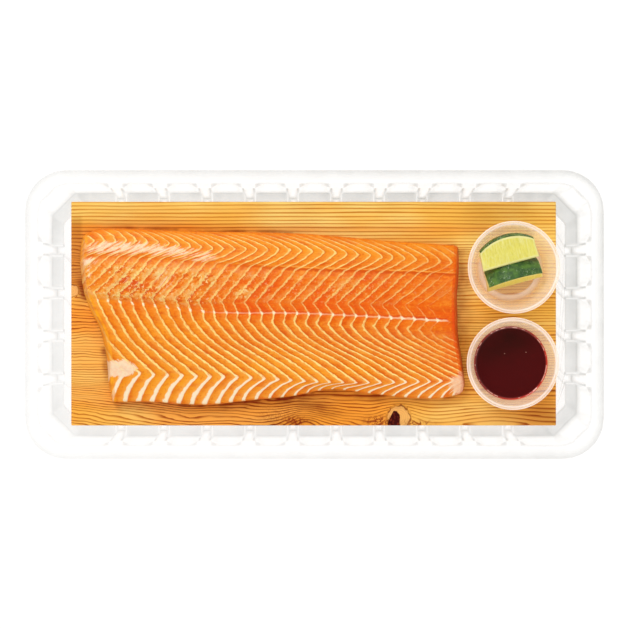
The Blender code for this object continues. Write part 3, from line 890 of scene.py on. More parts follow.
@dataclass(frozen=True)
class Tray:
    """The clear tray: a flange, ribbed walls, pockets that stand on the table and a raised platform.
    Half sizes are of its inner face."""

    height: float = 45.0
    sheet: float = 0.8
    rim: Pair = (193.2, 96.7)
    rim_corner: float = 28.0
    rim_round: float = 0.8
    skirt: float = 3.0
    mouth: Pair = (186.5, 89.4)
    mouth_corner: float = 21.5
    mouth_round: float = 0.6
    ledge: Pair = (184.2, 87.1)
    ledge_cut: float = 14.5
    ledge_z: float = 43.0
    shoulder_z: float = 37.5
    gutter: Pair = (180.0, 83.2)
    gutter_cut: float = 15.5
    platform: Pair = (171.6, 75.0)
    platform_cut: float = 13.0
    bank: float = 1.2
    bank_cut: float = 13.5
    rib_in: Pair = (2.4, 3.7)
    rib_half: float = 3.0
    rib_flank: float = 1.6
    rib_flare: float = 4.2
    pitch: Pair = (29.5, 29.2)
    ribs: tuple[int, int] = (10, 4)
    corner_steps: int = 7
    step: float = 1.15
    bend: float = 0.5
    long_runs: tuple[int, int] = (2, 4)
    skin: float = 0.55
    # The tray's fold tint is a dark grey: painted shade lines along its folds. Its lean greys the far right
    # corner as painted shade.
    finish: ClearSheetFinish = ClearSheetFinish(
        "clear_tray_sheet", tint=(0.98, 0.98, 0.96), fold_tint_and_shade=(0.34, 0.35, 0.33), open_share=0.02,
        fold_share=0.22, edge_share=0.08, roughness=0.14, lean=0.4,
    )

    def reach(self, along: int) -> float:
        """How far from a side's middle its last stop lies."""
        return self.mouth[along] - self.mouth_corner

    def side_stops(self, along: int) -> list[tuple[float, Stop]]:
        """The stops of one side between its corners."""
        flank = self.rib_half + self.rib_flank
        marks = ((self.rib_half, Stop.RIB), (flank, Stop.FLANK), (flank + self.rib_flare, Stop.BAY))
        stops = [(-self.reach(along), Stop.BAY)]
        for n in range(self.ribs[along]):
            rib = self.pitch[along] * (n - (self.ribs[along] - 1) / 2)
            stops += [(rib - off, kind) for off, kind in reversed(marks)]
            stops += [(rib + off, kind) for off, kind in marks]
        return stops + [(self.reach(along), Stop.BAY)]

    def stops(self) -> list[Place]:
        """Every stop round the tray, anticlockwise."""
        found = []
        for side in range(4):
            found += [(side, at, kind) for at, kind in self.side_stops(side % 2)]
            found += [(side, n / self.corner_steps, Stop.CORNER) for n in range(1, self.corner_steps)]
        return found

    def column(self, stop: Place) -> list[Span]:
        """The inner face's bends at one stop, from the skirt's edge to the platform.

        Args:
            stop: the stop.

        Returns:
            One point for each bend.
        """
        kind = stop[2]
        share = (self.ledge_z - self.shoulder_z) / (self.ledge_z - self.sheet)
        shoulder = tuple(a + (b - a) * share for a, b in zip(self.ledge, self.gutter))
        top_in = self.rib_in[0] if kind in (Stop.RIB, Stop.FLANK) else 0.0
        foot_in, foot_z = (self.rib_in[1], PLATFORM) if kind is Stop.RIB else (0.0, self.sheet)
        rim, mouth = inset(self.rim, self.rim_round), inset(self.mouth, -self.mouth_round)
        levels = (
            Level(self.rim, self.height - self.skirt, self.rim_corner, False),
            Level(rim, self.height, self.rim_corner - self.rim_round, False),
            Level(mouth, self.height, self.mouth_corner + self.mouth_round, False),
            Level(self.ledge, self.ledge_z, self.ledge_cut),
            Level(inset(shoulder, top_in), self.shoulder_z, self.ledge_cut),
            Level(inset(self.gutter, foot_in), foot_z, self.gutter_cut),
            Level(inset(self.platform, -self.bank), foot_z, self.bank_cut),
            Level(self.platform, PLATFORM, self.platform_cut),
        )
        return [level.at(stop, self.reach(stop[0] % 2)) for level in levels]

    def columns(self) -> Array:
        """Every column, with the spans between stops cut into short steps and the folds between them
        rounded by two passes of a running mean of three.

        Returns:
            The bends' points, in a grid of columns by bends.
        """
        stops = np.array([self.column(stop) for stop in self.stops()])
        after = np.roll(stops, -1, axis=0)
        span = np.linalg.norm(after - stops, axis=-1).max(axis=1)
        counts = np.maximum(1, np.ceil(span / self.step).astype(int))
        index = np.repeat(np.arange(len(stops)), counts)
        first = np.concatenate([[0], np.cumsum(counts)[:-1]])
        share = ((np.arange(len(index)) - first[index]) / counts[index])[:, None, None]
        columns = stops[index] * (1 - share) + after[index] * share
        for _ in range(2):
            columns = (np.roll(columns, 1, 0) + 2 * columns + np.roll(columns, -1, 0)) / 4
        return columns

    def rounded(self, columns: Array) -> Array:
        """Each column's bends rounded: a bend becomes a quadratic curve from a point just before it
        to a point just after it, and long straights get two points between.

        Args:
            columns: the bends' points, in a grid of columns by bends.

        Returns:
            The sheet's points, in a grid of columns by levels.
        """
        before, here, after = columns[:, :-2], columns[:, 1:-1], columns[:, 2:]
        back, on = before - here, after - here
        back_length = np.linalg.norm(back, axis=-1, keepdims=True)
        on_length = np.linalg.norm(on, axis=-1, keepdims=True)
        reach = np.minimum(self.bend, 0.42 * np.minimum(back_length, on_length))
        start, end = here + back / back_length * reach, here + on / on_length * reach
        parts = [columns[:, :1]]
        for n in range(here.shape[1]):
            last = parts[-1][:, -1]
            if n in self.long_runs:
                parts += [(last + (start[:, n] - last) * share)[:, None] for share in (0.34, 0.67)]
            for t in (0.0, 0.33, 0.67, 1.0):
                point = (1 - t) ** 2 * start[:, n] + 2 * t * (1 - t) * here[:, n] + t * t * end[:, n]
                parts.append(point[:, None])
        return np.concatenate([*parts, columns[:, -1:]], axis=1)

    def fold(self, grid: Array) -> Array:
        """How sharply the sheet bends at each point: the turn of its normal to its neighbours.

        Args:
            grid: the sheet's points, in a grid of columns by levels.

        Returns:
            0 where it is flat, up to 1 on a sharp fold.
        """
        down, ahead = np.gradient(grid, axis=1), (np.roll(grid, -1, 0) - np.roll(grid, 1, 0)) / 2
        normal = np.cross(ahead, down)
        normal /= np.linalg.norm(normal, axis=-1, keepdims=True) + 1e-9
        turn = np.zeros(grid.shape[:2])
        for axis, shift in ((0, 1), (0, -1), (1, 1), (1, -1)):
            other = np.roll(normal, shift, axis)
            if axis == 1:
                end = 0 if shift == 1 else -1
                other[:, end] = normal[:, end]
            turn = np.maximum(turn, 1 - (normal * other).sum(-1))
        return np.clip(np.sqrt(np.maximum(turn, 0)) * 3.0 - 0.12, 0, 1)

    def build(self) -> bpy.types.Object:
        """The tray as one closed sheet."""
        grid = self.rounded(self.columns())
        columns, levels = grid.shape[:2]
        index = np.arange(columns * levels).reshape(columns, levels)
        after = np.roll(index, -1, axis=0)
        quads = np.stack([index[:, :-1], index[:, 1:], after[:, 1:], after[:, :-1]], -1)
        faces = listed(quads.reshape(-1, 4)) + listed(index[:, -1][None])
        skin = Skin("tray_sheet", grid.reshape(-1, 3), faces, {"fold": self.fold(grid).ravel()})
        tray = skin.make(self.finish.material())
        wall = tray.modifiers.new("sheet", "SOLIDIFY")
        wall.thickness = self.skin * MM
        wall.offset = 1.0
        wall.use_even_offset = False
        return place(tray, "clear_tray", "tray")


# The plank


@dataclass(frozen=True)
class Knot:
    """A knot: its middle, its radius, how far it lifts the grain over it, how far that reaches and
    how strong its disc is. Without a disc it only bends the grain."""

    centre: Pair
    radius: float
    lift: float
    reach: Pair
    core: float = 0.0


@dataclass(frozen=True)
class Stain:
    """A round soft stain. Where swing is given, a noise of its cell size makes it uneven: calm plus
    swing times the noise multiplies it."""

    centre: Pair
    radii: Pair
    strength: float
    seed: int = 0
    calm: float = 1.0
    swing: float = 0.0
    cell: Pair = (1.0, 1.0)

    def at(self, x: Array, y: Array) -> Array:
        """How strong the stain is at each point."""
        stain = self.strength * blob(x, y, self.centre, self.radii)
        if not self.swing:
            return stain
        return stain * (self.calm + self.swing * Grain(self.seed).at(x / self.cell[0], y / self.cell[1]))


@dataclass(frozen=True)
class Panel:
    """A soft rectangular stain: its strength, and where it lies in x and y as (low, high, soft)."""

    strength: float
    x: Span
    y: Span

    def at(self, x: Array, y: Array) -> Array:
        """How strong the stain is at each point."""
        return self.strength * window(x, *self.x) * window(y, *self.y)


class Edge(Enum):
    """An edge of the fillet."""

    BACK = "back"
    BELLY = "belly"
    LEFT = "left"
    RIGHT = "right"


@dataclass(frozen=True)
class EdgeSeepAndShade:
    """Seeping stain and painted contact shade along an edge of the fillet: how far out of it, its width
    and strength, and its stretch of the edge as (low, high, soft)."""

    edge: Edge
    out: float
    width: float
    strength: float
    stretch: Span

    def at(self, x: Array, y: Array) -> Array:
        """How strong the seeping stain and its painted shade are at each point."""
        match self.edge:
            case Edge.BACK:
                off, along = y - through(BACK_EDGE, x), x
            case Edge.BELLY:
                off, along = through(BELLY_EDGE, x) - y, x
            case Edge.LEFT:
                off, along = through(LEFT_CUT, y) - x, y
            case Edge.RIGHT:
                off, along = x - through(RIGHT_CUT, y), y
        return self.strength * bell(off - self.out, self.width) * window(along, *self.stretch)


@dataclass(frozen=True)
class Plank:
    """The sawn plank, with its grain, stains and painted edge shade worked out at each point of its skin."""

    size: Span = (330.2, 152.4, PLANK_THICK)
    centre: Pair = (-0.6, 0.6)
    edge: float = 0.7
    cells: tuple[int, int, int] = (300, 138, 8)
    ring_width: float = 2.0
    ring_lean: float = 0.35
    far: float = 3.0
    heart_tip: Pair = (54.9, -65.0)
    knots: tuple[Knot, ...] = (
        Knot((-164.9, 16.0), 4.2, 3.4, (12.0, 9.0), 1.0),
        Knot((57.2, -70.0), 7.6, 6.4, (15.0, 11.0), 0.8),
        Knot((-7.5, -73.0), 1.0, 5.5, (12.0, 11.0)),
        Knot((-36.0, -76.0), 1.0, -3.5, (18.0, 12.0)),
        Knot((-86.0, -58.0), 1.0, -3.5, (16.0, 8.0)),
        Knot((122.0, -72.0), 1.0, 3.0, (26.0, 9.0)),
    )
    warm: tuple[Panel | Stain, ...] = (
        Panel(0.55, (-170.0, -95.0, 30.0), (24.0, 60.0, 8.0)),
        Panel(0.5, (-170.0, -150.0, 8.0), (-8.0, 56.0, 8.0)),
        Panel(0.55, (-100.0, 40.0, 25.0), (-90.0, -52.0, 6.0)),
        Panel(0.3, (-170.0, 170.0, 1.0), (-90.0, -52.0, 6.0)),
        Panel(0.38, (-170.0, -135.0, 6.0), (-60.0, 0.0, 8.0)),
        Stain((150.0, -60.0), (18.0, 18.0), 0.55),
    )
    brown: tuple[Panel | Stain, ...] = (
        Stain((-1.0, -62.5), (13.0, 3.4), 0.6),
        Stain((10.0, -67.5), (11.0, 2.6), 0.45),
        Stain((-15.0, -73.0), (14.0, 4.4), 0.6, 15, 0.6, 0.7, (6.0, 2.0)),
        Stain((-22.0, -57.5), (20.0, 3.6), 0.55, 19, 0.7, 0.7, (7.0, 1.8)),
        Stain((158.0, -70.0), (16.0, 9.0), 0.4),
        Stain((-158.5, 17.0), (4.0, 8.0), 0.5),
        Panel(0.35, (-170.0, -160.0, 3.0), (24.0, 62.0, 8.0)),
    )
    burnt: tuple[Stain, ...] = (Stain((-18.0, -68.0), (24.0, 8.0), 1.2, 31, 0.75, 0.6, (9.0, 3.0)),)
    scrawls: tuple[Stain, ...] = (
        Stain((44.0, -72.6), (9.0, 3.0), 1.4),
        Stain((70.0, -73.8), (9.0, 1.8), 1.3),
        Stain((-11.8, -72.6), (7.0, 2.4), 1.2),
        Stain((-24.0, -69.0), (12.0, 5.0), 0.5),
    )
    # Dark red along the fillet's edges, seeping stain and painted contact shadow in one; the two round ones
    # are plain stains.
    juice_and_shade: tuple[EdgeSeepAndShade | Stain, ...] = (
        EdgeSeepAndShade(Edge.BELLY, 1.9, 1.0, 0.5, (-130.0, 96.0, 10.0)),
        EdgeSeepAndShade(Edge.BELLY, 1.9, 1.0, 1.1, (-85.0, -5.0, 12.0)),
        EdgeSeepAndShade(Edge.BELLY, 4.6, 1.6, 0.35, (-60.0, 40.0, 14.0)),
        EdgeSeepAndShade(Edge.RIGHT, 2.0, 5.5, 0.42, (-46.0, 42.0, 6.0)),
        EdgeSeepAndShade(Edge.LEFT, 0.6, 2.4, 0.85, (-42.0, -26.0, 7.0)),
        EdgeSeepAndShade(Edge.LEFT, 1.0, 2.0, 0.7, (12.0, 22.0, 5.0)),
        EdgeSeepAndShade(Edge.BACK, 1.6, 1.4, 0.6, (-130.0, -20.0, 20.0)),
        Stain((-12.0, -72.8), (5.0, 1.8), 0.9),
        Stain((4.0, -63.5), (4.0, 2.0), 0.5),
    )

    def axis(self, half: float, cells: int) -> Array:
        """Places along one axis: even, with a close extra one at each rounded edge."""
        inner = np.linspace(-half + self.edge, half - self.edge, cells - 3)
        return np.concatenate([[-half, -half + 0.3 * self.edge], inner, [half - 0.3 * self.edge, half]])

    def shell(self) -> tuple[Array, Faces]:
        """A closed box of six grids, welded, with its edges rounded: a point beyond the inner box is
        drawn in to the edge's radius from it.

        Returns:
            The points about the box's middle, and the faces.
        """
        half = [s / 2 for s in self.size]
        axes = [self.axis(h, n) for h, n in zip(half, self.cells)]
        points, faces, start = [], [], 0
        for normal in range(3):
            u, v = [a for a in range(3) if a != normal]
            for sign in (-1, 1):
                a, b = np.meshgrid(axes[u], axes[v], indexing="ij")
                sheet = np.zeros((*a.shape, 3))
                sheet[..., u], sheet[..., v], sheet[..., normal] = a, b, sign * half[normal]
                quads = grid_faces(*a.shape, start=start)
                faces.append(quads[:, ::-1] if (sign > 0) == (normal == 1) else quads)
                points.append(sheet.reshape(-1, 3))
                start += a.size
        points, back = np.unique(np.round(np.concatenate(points), 4), axis=0, return_inverse=True)
        inner = np.array(half) - self.edge
        near = np.clip(points, -inner, inner)
        off = points - near
        length = np.linalg.norm(off, axis=1, keepdims=True)
        points = near + off / np.maximum(length, 1e-9) * np.minimum(length, self.edge)
        return points, listed(back.ravel()[np.concatenate(faces)])

    def rings(self, x: Array, y: Array, z: Array) -> Array:
        """The ring number at each point. Rings are planes that lean a little with depth, wander
        slowly along the plank, arch over each knot and crowd or spread in places.

        Args:
            x: place along the plank.
            y: place across it.
            z: height over its underside.

        Returns:
            The ring number.
        """
        calm = 1 - 0.75 * window(y, 50.0, 90.0, 6.0)
        wander = 1.1 * Grain(11).at(x / 120, y / 26) + 0.3 * Grain(12).at(x / 40, y / 9)
        wander += 0.45 * Grain(30).at(x / 14, y / 12) * ease((-130.0 - x) / 14)
        wander += 0.7 * Grain(13).at(x / 160, y / 6)
        lower = 0.5 * Grain(31).at(x / 18, y / 7) * window(x, -90.0, 20.0, 20.0) * ease((-50.0 - y) / 6)
        lifted = y - sum(knot.lift * blob(x, y, knot.centre, knot.reach) for knot in self.knots)
        ring = (lifted + self.ring_lean * (self.size[2] - z)) / self.ring_width + wander * calm + lower
        ring -= 0.09 * np.maximum(y - 50.0, 0.0) + 0.15 * np.minimum(y + 50.0, 0.0) * ease((x - 5.0) / 40)
        return ring + 0.05 * np.minimum(x + 85.0, 0.0) * ease((-40.0 - y) / 20)

    def heart(self, x: Array, y: Array) -> Array:
        """Depth inside the lower knot's split heart, a triangle that widens towards the plank's
        edge."""
        middle, top = self.heart_tip
        down = np.clip(top - y, 0, 12)
        left = middle - np.minimum(1.6 + 0.42 * down, 5.0)
        right = middle + np.minimum(1.4 + 0.5 * down, 3.6)
        return np.minimum(np.minimum(x - left, right - x), top - y)

    def grain(self, x: Array, y: Array, z: Array) -> dict[str, Array]:
        """The values that the finish reads: rings, which are circles inside a knot, stains, and painted
        shade along the fillet's edges.

        Args:
            x: place along the plank.
            y: place across it.
            z: height over its underside.

        Returns:
            Each value by its name.
        """
        ring, near, core = self.rings(x, y, z), np.full_like(x, self.far), np.zeros_like(x)
        for knot in [knot for knot in self.knots if knot.core]:
            r = np.hypot(x - knot.centre[0], y - knot.centre[1]) / knot.radius
            inside = ease((1.12 - r) / 0.2)
            ring = ring * (1 - inside) + (r * knot.radius / 1.3) * inside
            near = np.minimum(near, r)
            core = np.where(r < self.far, knot.core, core)
        warmth = sum(patch.at(x, y) for patch in self.warm)
        warmth += 0.6 * bell(y - 58.3, 2.6) * window(x, -160.0, 120.0, 20.0)
        warmth += 0.2 * ease((44.0 - y) / 20) + 0.22 * Grain(14).at(x / 40, y / 12)
        brown, burnt, scrawl, wet_and_shade = (
            sum(patch.at(x, y) for patch in kind)
            for kind in (self.brown, self.burnt, self.scrawls, self.juice_and_shade)
        )
        wet_and_shade = wet_and_shade * (0.7 + 0.9 * Grain(29).at(x / 6, y / 6))
        return {
            "ring": np.stack([ring, np.clip(warmth, 0, 1), np.clip(brown, 0, 1)], -1),
            "knot": np.stack([near, core, np.clip(self.heart(x, y), -5, 5)], -1),
            "juice_and_shade": np.clip(np.stack([wet_and_shade, scrawl, burnt], -1), 0, 1),
        }

    def build(self) -> bpy.types.Object:
        """The plank."""
        points, faces = self.shell()
        points = points + (*self.centre, PLANK_BASE + self.size[2] / 2)
        values = self.grain(points[:, 0], points[:, 1], points[:, 2] - PLANK_BASE)
        plank = Skin("cedar_plank", points, faces, vectors=values).make(CedarFinish().material())
        return place(plank, "cedar", "plank")


# The fillet


@dataclass(frozen=True)
class Row:
    """One row across the fillet: its line in plan, the place start + pitch k + stretch k k of fat
    line number k on it, its height as a share of the thickest line, the steps to the next row and
    how far the fat lines bow on the way there."""

    line: Points
    start: float
    pitch: float
    stretch: float
    share: float
    steps: int
    bow: float


class Tint(Enum):
    """A tint of the flesh, by its place in the mesh's values."""

    PALE = 0
    RED = 1
    GOLDEN = 2


@dataclass(frozen=True)
class Patch:
    """A soft patch on the fillet that strengthens one of its tints."""

    tint: Tint
    centre: Pair
    radii: Pair
    strength: float
    power: float = 1.0


@dataclass(frozen=True)
class Lay:
    """Where the fillet's points lie, in grids of fine rows by columns: x, y, smooth height over the
    plank, row number s, fat line number k, and how far each is on a cut face and on the top."""

    x: Array
    y: Array
    z: Array
    s: Array
    k: Array
    on_cut: Array
    on_top: Array

    @property
    def turn(self) -> Array:
        """The way from one fat line to the next, from 0 to 1."""
        return self.k - np.floor(self.k)

    @property
    def left(self) -> Array:
        """How far into the left half."""
        return ease((-20 - self.x) / 110)

    @property
    def far_left(self) -> Array:
        """How far into the left end."""
        return ease((-55 - self.x) / 40)

    @property
    def right(self) -> Array:
        """How far into the right half."""
        return ease((self.x - 20) / 80)


@dataclass
class Fillet:
    """The raw fillet: flakes between fat lines that zigzag from the back's edge to the belly's."""

    thick: Pair = (23.5, 19.0)
    ends: Pair = (-156.0, 101.0)
    bulge: float = 1.0
    fan: float = 2.0
    columns: int = 410
    side_steps: int = 9
    face_steps: int = 10
    foot_columns: int = 30
    corner: float = 1.6
    fold_depth: float = 0.8
    seam_depth: float = 0.25
    flank: tuple[int, int] = (5, 8)
    rows: tuple[Row, ...] = (
        Row(BACK_EDGE, -103.4, 5.76, 0.087, 0.40, 12, 0.55),
        Row(((-153.7, 49.2), (-110.1, 49.2), (-76.7, 45.2), (-9.7, 43.2), (45.9, 39.2), (90.7, 35.2)),
            -83.0, 7.33, 0.0134, 0.84, 12, -0.45),
        Row(((-153.7, 39.8), (-110.1, 37.8), (-76.7, 35.2), (-9.7, 30.5), (57.2, 28.5), (94.1, 27.1)),
            -102.8, 7.23, 0.0288, 0.97, 27, -0.12),
        Row(((-153.7, 15.7), (-110.1, 11.7), (-56.6, 8.4), (-9.7, 7.7), (90.7, 5.0)),
            -124.2, 7.70, 0.0, 0.975, 8, 0.2),
        Row(((-150.3, 10.4), (-110.1, 6.7), (-76.7, 2.3), (-9.7, 1.0), (57.2, -2.3), (96.1, -4.7)),
            -122.5, 7.93, 0.0, 0.955, 8, 0.0),
        Row(((-147.0, 3.7), (-90.0, -2.3), (-46.5, -4.4), (17.1, -7.0), (84.0, -11.0)),
            -119.5, 7.57, 0.0, 0.935, 14, 0.0),
        Row(((-145.0, -17.1), (95.0, -17.1)), -107.9, 7.70, -0.010, 0.84, 16, 0.0),
        Row(((-140.0, -30.5), (95.0, -30.5)), -92.7, 8.57, -0.0268, 0.72, 14, 0.0),
        Row(((-136.9, -38.5), (-106.8, -40.5), (-41.2, -42.9), (10.4, -45.9), (53.9, -45.9), (97.4, -44.5)),
            -79.3, 9.44, -0.0368, 0.60, 14, 0.6),
        Row(BELLY_EDGE, -92.1, 8.91, -0.0201, 0.34, 0, 0.0),
    )
    lean: Pair = (7.0, 5.0)
    knife_height: float = 30.0
    patches: tuple[Patch, ...] = (
        Patch(Tint.PALE, (-150.0, 44.5), (6.0, 2.8), 0.5),
        Patch(Tint.PALE, (-138.0, 45.2), (11.0, 4.4), 0.75),
        Patch(Tint.PALE, (-116.0, 44.6), (16.0, 4.0), 0.8),
        Patch(Tint.PALE, (-94.0, 43.0), (13.0, 3.2), 0.65),
        Patch(Tint.PALE, (-152.0, 35.8), (6.5, 2.2), 0.85),
        Patch(Tint.PALE, (-76.0, 38.5), (14.0, 3.4), 0.5),
        Patch(Tint.PALE, (-124.0, 22.0), (9.0, 5.0), 0.3),
        Patch(Tint.PALE, (-100.0, 24.0), (8.0, 9.0), 0.3),
        Patch(Tint.PALE, (-131.0, -36.4), (10.5, 5.4), 1.7, 2.0),
        Patch(Tint.PALE, (-141.5, -39.0), (2.6, 9.0), 1.2, 2.0),
        Patch(Tint.PALE, (99.0, -47.5), (7.5, 8.0), 1.1, 1.6),
        Patch(Tint.PALE, (-152.0, 20.0), (2.6, 14.0), 0.45),
        Patch(Tint.RED, (-20.0, 3.0), (110.0, 8.0), 0.6),
        Patch(Tint.RED, (70.0, -4.0), (50.0, 16.0), 0.4),
        Patch(Tint.RED, (94.0, -20.0), (8.0, 22.0), 0.6),
        Patch(Tint.RED, (30.0, 20.0), (80.0, 12.0), 0.65),
        Patch(Tint.RED, (-40.0, 18.0), (40.0, 12.0), 0.4),
        Patch(Tint.RED, (-122.0, 15.0), (7.0, 9.0), 0.5),
        Patch(Tint.RED, (-108.0, 12.0), (6.0, 8.0), 0.5),
        Patch(Tint.RED, (-140.0, 26.0), (16.0, 9.0), 0.45),
        Patch(Tint.GOLDEN, (-100.0, -48.0), (45.0, 16.0), 0.9),
        Patch(Tint.GOLDEN, (-20.0, -40.0), (60.0, 16.0), 0.7),
        Patch(Tint.GOLDEN, (-110.0, -15.0), (40.0, 16.0), 0.6),
        Patch(Tint.GOLDEN, (-150.0, 8.0), (9.0, 24.0), 0.9),
        Patch(Tint.GOLDEN, (-138.0, -52.0), (8.0, 10.0), 0.7),
        Patch(Tint.GOLDEN, (20.0, 44.0), (90.0, 8.0), 0.6),
        Patch(Tint.GOLDEN, (-90.0, 51.0), (60.0, 7.0), 0.5),
        Patch(Tint.GOLDEN, (60.0, -48.0), (50.0, 8.0), 0.4),
    )

    def __post_init__(self) -> None:
        """Lays out the fine rows: s counts rows, from -1 at the back's foot to one past the last."""
        self.last = len(self.rows) - 1
        back = np.linspace(-1, 0, self.side_steps, endpoint=False)
        top = [n + np.linspace(0, 1, row.steps, endpoint=False) for n, row in enumerate(self.rows[:-1])]
        belly = self.last + np.linspace(0, 1, self.side_steps + 1)
        self.s = np.concatenate([back, *top, belly])
        # For each fine row, the row before it and the way from there to the next.
        on_rows = np.clip(self.s, 0, self.last)
        self.before = np.minimum(on_rows.astype(int), self.last - 1)
        self.way = on_rows - self.before

    def blend(self, name: str) -> Array:
        """One value of the rows, read at each fine row: straight between rows, where a bow adds
        bow t (1 - t), with a smooth cubic over the flank, then evened by a running mean of three.

        Args:
            name: the value's name.

        Returns:
            A column of values.
        """
        i, t, s = self.before, self.way, self.before + self.way
        t = t + np.array([row.bow for row in self.rows])[i] * t * (1 - t)
        values = np.array([getattr(row, name) for row in self.rows])
        straight = values[i] * (1 - t) + values[i + 1] * t
        low, high = self.flank
        smooth = through(tuple(enumerate(values[low:high + 1].tolist(), low)), s)
        blended = np.where((s >= low) & (s <= high), smooth, straight)
        return np.convolve(np.pad(blended, 1, mode="edge"), (0.25, 0.5, 0.25), mode="valid")[:, None]

    def line_y(self, x: Array) -> Array:
        """y at each fine row and x, straight between the rows' lines.

        Args:
            x: places along the fillet, row by row.

        Returns:
            y at each of them.
        """
        lines = np.stack([through(row.line, x) for row in self.rows])
        i, t = self.before[None, :, None], self.way[:, None]
        before, after = (np.take_along_axis(lines, n, 0)[0] for n in (i, i + 1))
        return before * (1 - t) + after * t

    def side_shift(self, share: Array) -> Array:
        """How far y moves out at each fine row: the sides bulge, and the feet of the cut faces fan in
        so that no two of their points meet.

        Args:
            share: each point's height as a share of its fine row's, row by row.

        Returns:
            The shift, positive towards the back.
        """
        back, belly = -self.s[:, None], (self.s - self.last)[:, None]
        shift = 0.0
        for down, turn, sign in ((back, 3.5, 1), (belly, 3.7, -1)):
            foot = -self.bulge * math.sin(turn)
            inner = self.fan * np.clip(1 + down, 0, 1) ** 2
            fan = np.where(down > 0, foot + (self.fan - foot) * (1 - down), inner)
            bulge = self.bulge * np.sin(np.clip(down, 0, 1) * turn)
            shift = shift + sign * (bulge * share - fan * (1 - share))
        return shift

    def height(self, x: Array) -> Array:
        """The flesh's smooth height over the plank: the thickest line's height, which falls along
        the fillet, times the row's share, with the back fold's and midline's grooves.

        Args:
            x: places along the fillet, row by row.

        Returns:
            The height at each of them.
        """
        shares = [row.share for row in self.rows]
        s = self.before + self.way
        rise = shares[0] + (shares[1] - shares[0]) * np.sin(s * math.pi / 2)
        share = np.where(s < 1, rise, through(tuple(enumerate(shares)), s))
        side = 1 - np.clip(-self.s, 0, 1) - np.clip(self.s - self.last, 0, 1)
        way = np.clip((x - self.ends[0]) / (self.ends[1] - self.ends[0]), 0, 1)
        thick = self.thick[0] + (self.thick[1] - self.thick[0]) * way
        groove = self.fold_depth * bell(self.s - 2, 0.16) + self.seam_depth * bell(self.s - 4, 0.22)
        return thick * (share * side)[:, None] - groove[:, None]

    def cut_face(self, cut: Points, lean: float, sign: int) -> tuple[Array, Array]:
        """One cut face and its rounded edge, row by row from the foot up.

        Args:
            cut: the line of its foot, as (y, x).
            lean: how far in the cut leans over the knife's height.
            sign: 1 at the left, -1 at the right.

        Returns:
            x, and the height over the plank.
        """
        foot = np.full((len(self.s), 1), cut[5][1], float)
        for _ in range(4):
            foot = through(cut, self.line_y(foot)[:, 0])[:, None]
        top = foot + sign * lean * np.maximum(self.height(foot), 3.0) / self.knife_height
        tall = self.height(top)
        r = np.minimum(self.corner, 0.4 * np.maximum(tall, 1.0))
        climb = np.linspace(0, 1, self.face_steps) * (1 - r / np.maximum(tall, 2.5 * r))
        x, z = foot + (top - foot) * climb, tall * climb
        inner, t = top + sign * r, np.array([0.3, 0.65, 1.0])
        bend_x = (1 - t) ** 2 * x[:, -1:] + 2 * t * (1 - t) * top + t**2 * inner
        bend_z = (1 - t) ** 2 * z[:, -1:] + 2 * t * (1 - t) * tall + t**2 * self.height(inner)
        return np.concatenate([x, bend_x], 1), np.concatenate([z, bend_z], 1)

    def lay_out(self) -> Lay:
        """Places every point. Each fine row starts at the foot of the left cut, climbs it, rounds its
        edge, runs along the top and comes down the right cut in the same way.

        Returns:
            Where the points lie.
        """
        left_x, left_z = self.cut_face(LEFT_CUT, self.lean[0], 1)
        right_x, right_z = self.cut_face(RIGHT_CUT, self.lean[1], -1)
        along = np.linspace(0, 1, self.columns)[1:-1]
        top_x = left_x[:, -1:] + (right_x[:, -1:] - left_x[:, -1:]) * along
        x = np.concatenate([left_x, top_x, right_x[:, ::-1]], 1)
        z = np.maximum(np.concatenate([left_z, self.height(top_x), right_z[:, ::-1]], 1), 0.0)
        edge = left_x.shape[1]
        on_cut = np.zeros_like(x)
        on_cut[:, :edge] = on_cut[:, -edge:] = 1.0
        on_top, soft = 1 - on_cut, ease(np.arange(8) / 8)
        on_top[:, edge:edge + 8] = soft
        on_top[:, -edge - 8:-edge] = soft[::-1]
        share = np.where(on_cut > 0, z / np.maximum(z.max(axis=1, keepdims=True), 0.3), 1.0)
        share[[0, -1]] = 1.0
        y = self.line_y(x) + self.side_shift(np.clip(share, 0, 1))
        s = np.broadcast_to(self.s[:, None], x.shape)
        k = self.phase(x) + 0.05 * Grain(21).at(x / 14, y / 9)
        return Lay(x, y, z, s, k, on_cut, on_top)

    def phase(self, x: Array) -> Array:
        """The number of the fat line at each point: k solves start + pitch k + stretch k k = x.

        Args:
            x: places along the fillet, row by row.

        Returns:
            k at each of them.
        """
        start, pitch, stretch = (self.blend(name) for name in ("start", "pitch", "stretch"))
        # Towards the back's left corner the lines fan out.
        x = x + 0.34 * np.maximum(-132.0 - x, 0.0) * np.clip(1 - self.s, 0, 1)[:, None]
        root = np.sqrt(np.maximum(pitch**2 - 4 * stretch * (start - x), 0.01))
        return 2 * (x - start) / (pitch + root)

    def torn(self, lay: Lay) -> Array:
        """How torn the flesh is: between the fold and the midline, and most at the left.

        Args:
            lay: where the points lie.

        Returns:
            0 where it is whole, 1 where it is most torn.
        """
        x, s, far = lay.x, lay.s, lay.far_left
        torn = ease((s - 2.0) / 0.35) * ease((3.15 + 0.9 * far - s) / (0.3 + 0.8 * far))
        torn *= 0.34 + 0.66 * ease((-20 - x) / 60)
        torn *= 0.75 + 0.5 * Grain(22).at(x / 12, lay.y / 8)
        torn *= 1 - 0.6 * window(s, 2.75, 3.2, 0.15) * lay.right
        torn *= 1 - 0.6 * ease((x - 30) / 45)
        return np.clip(torn, 0, 1)

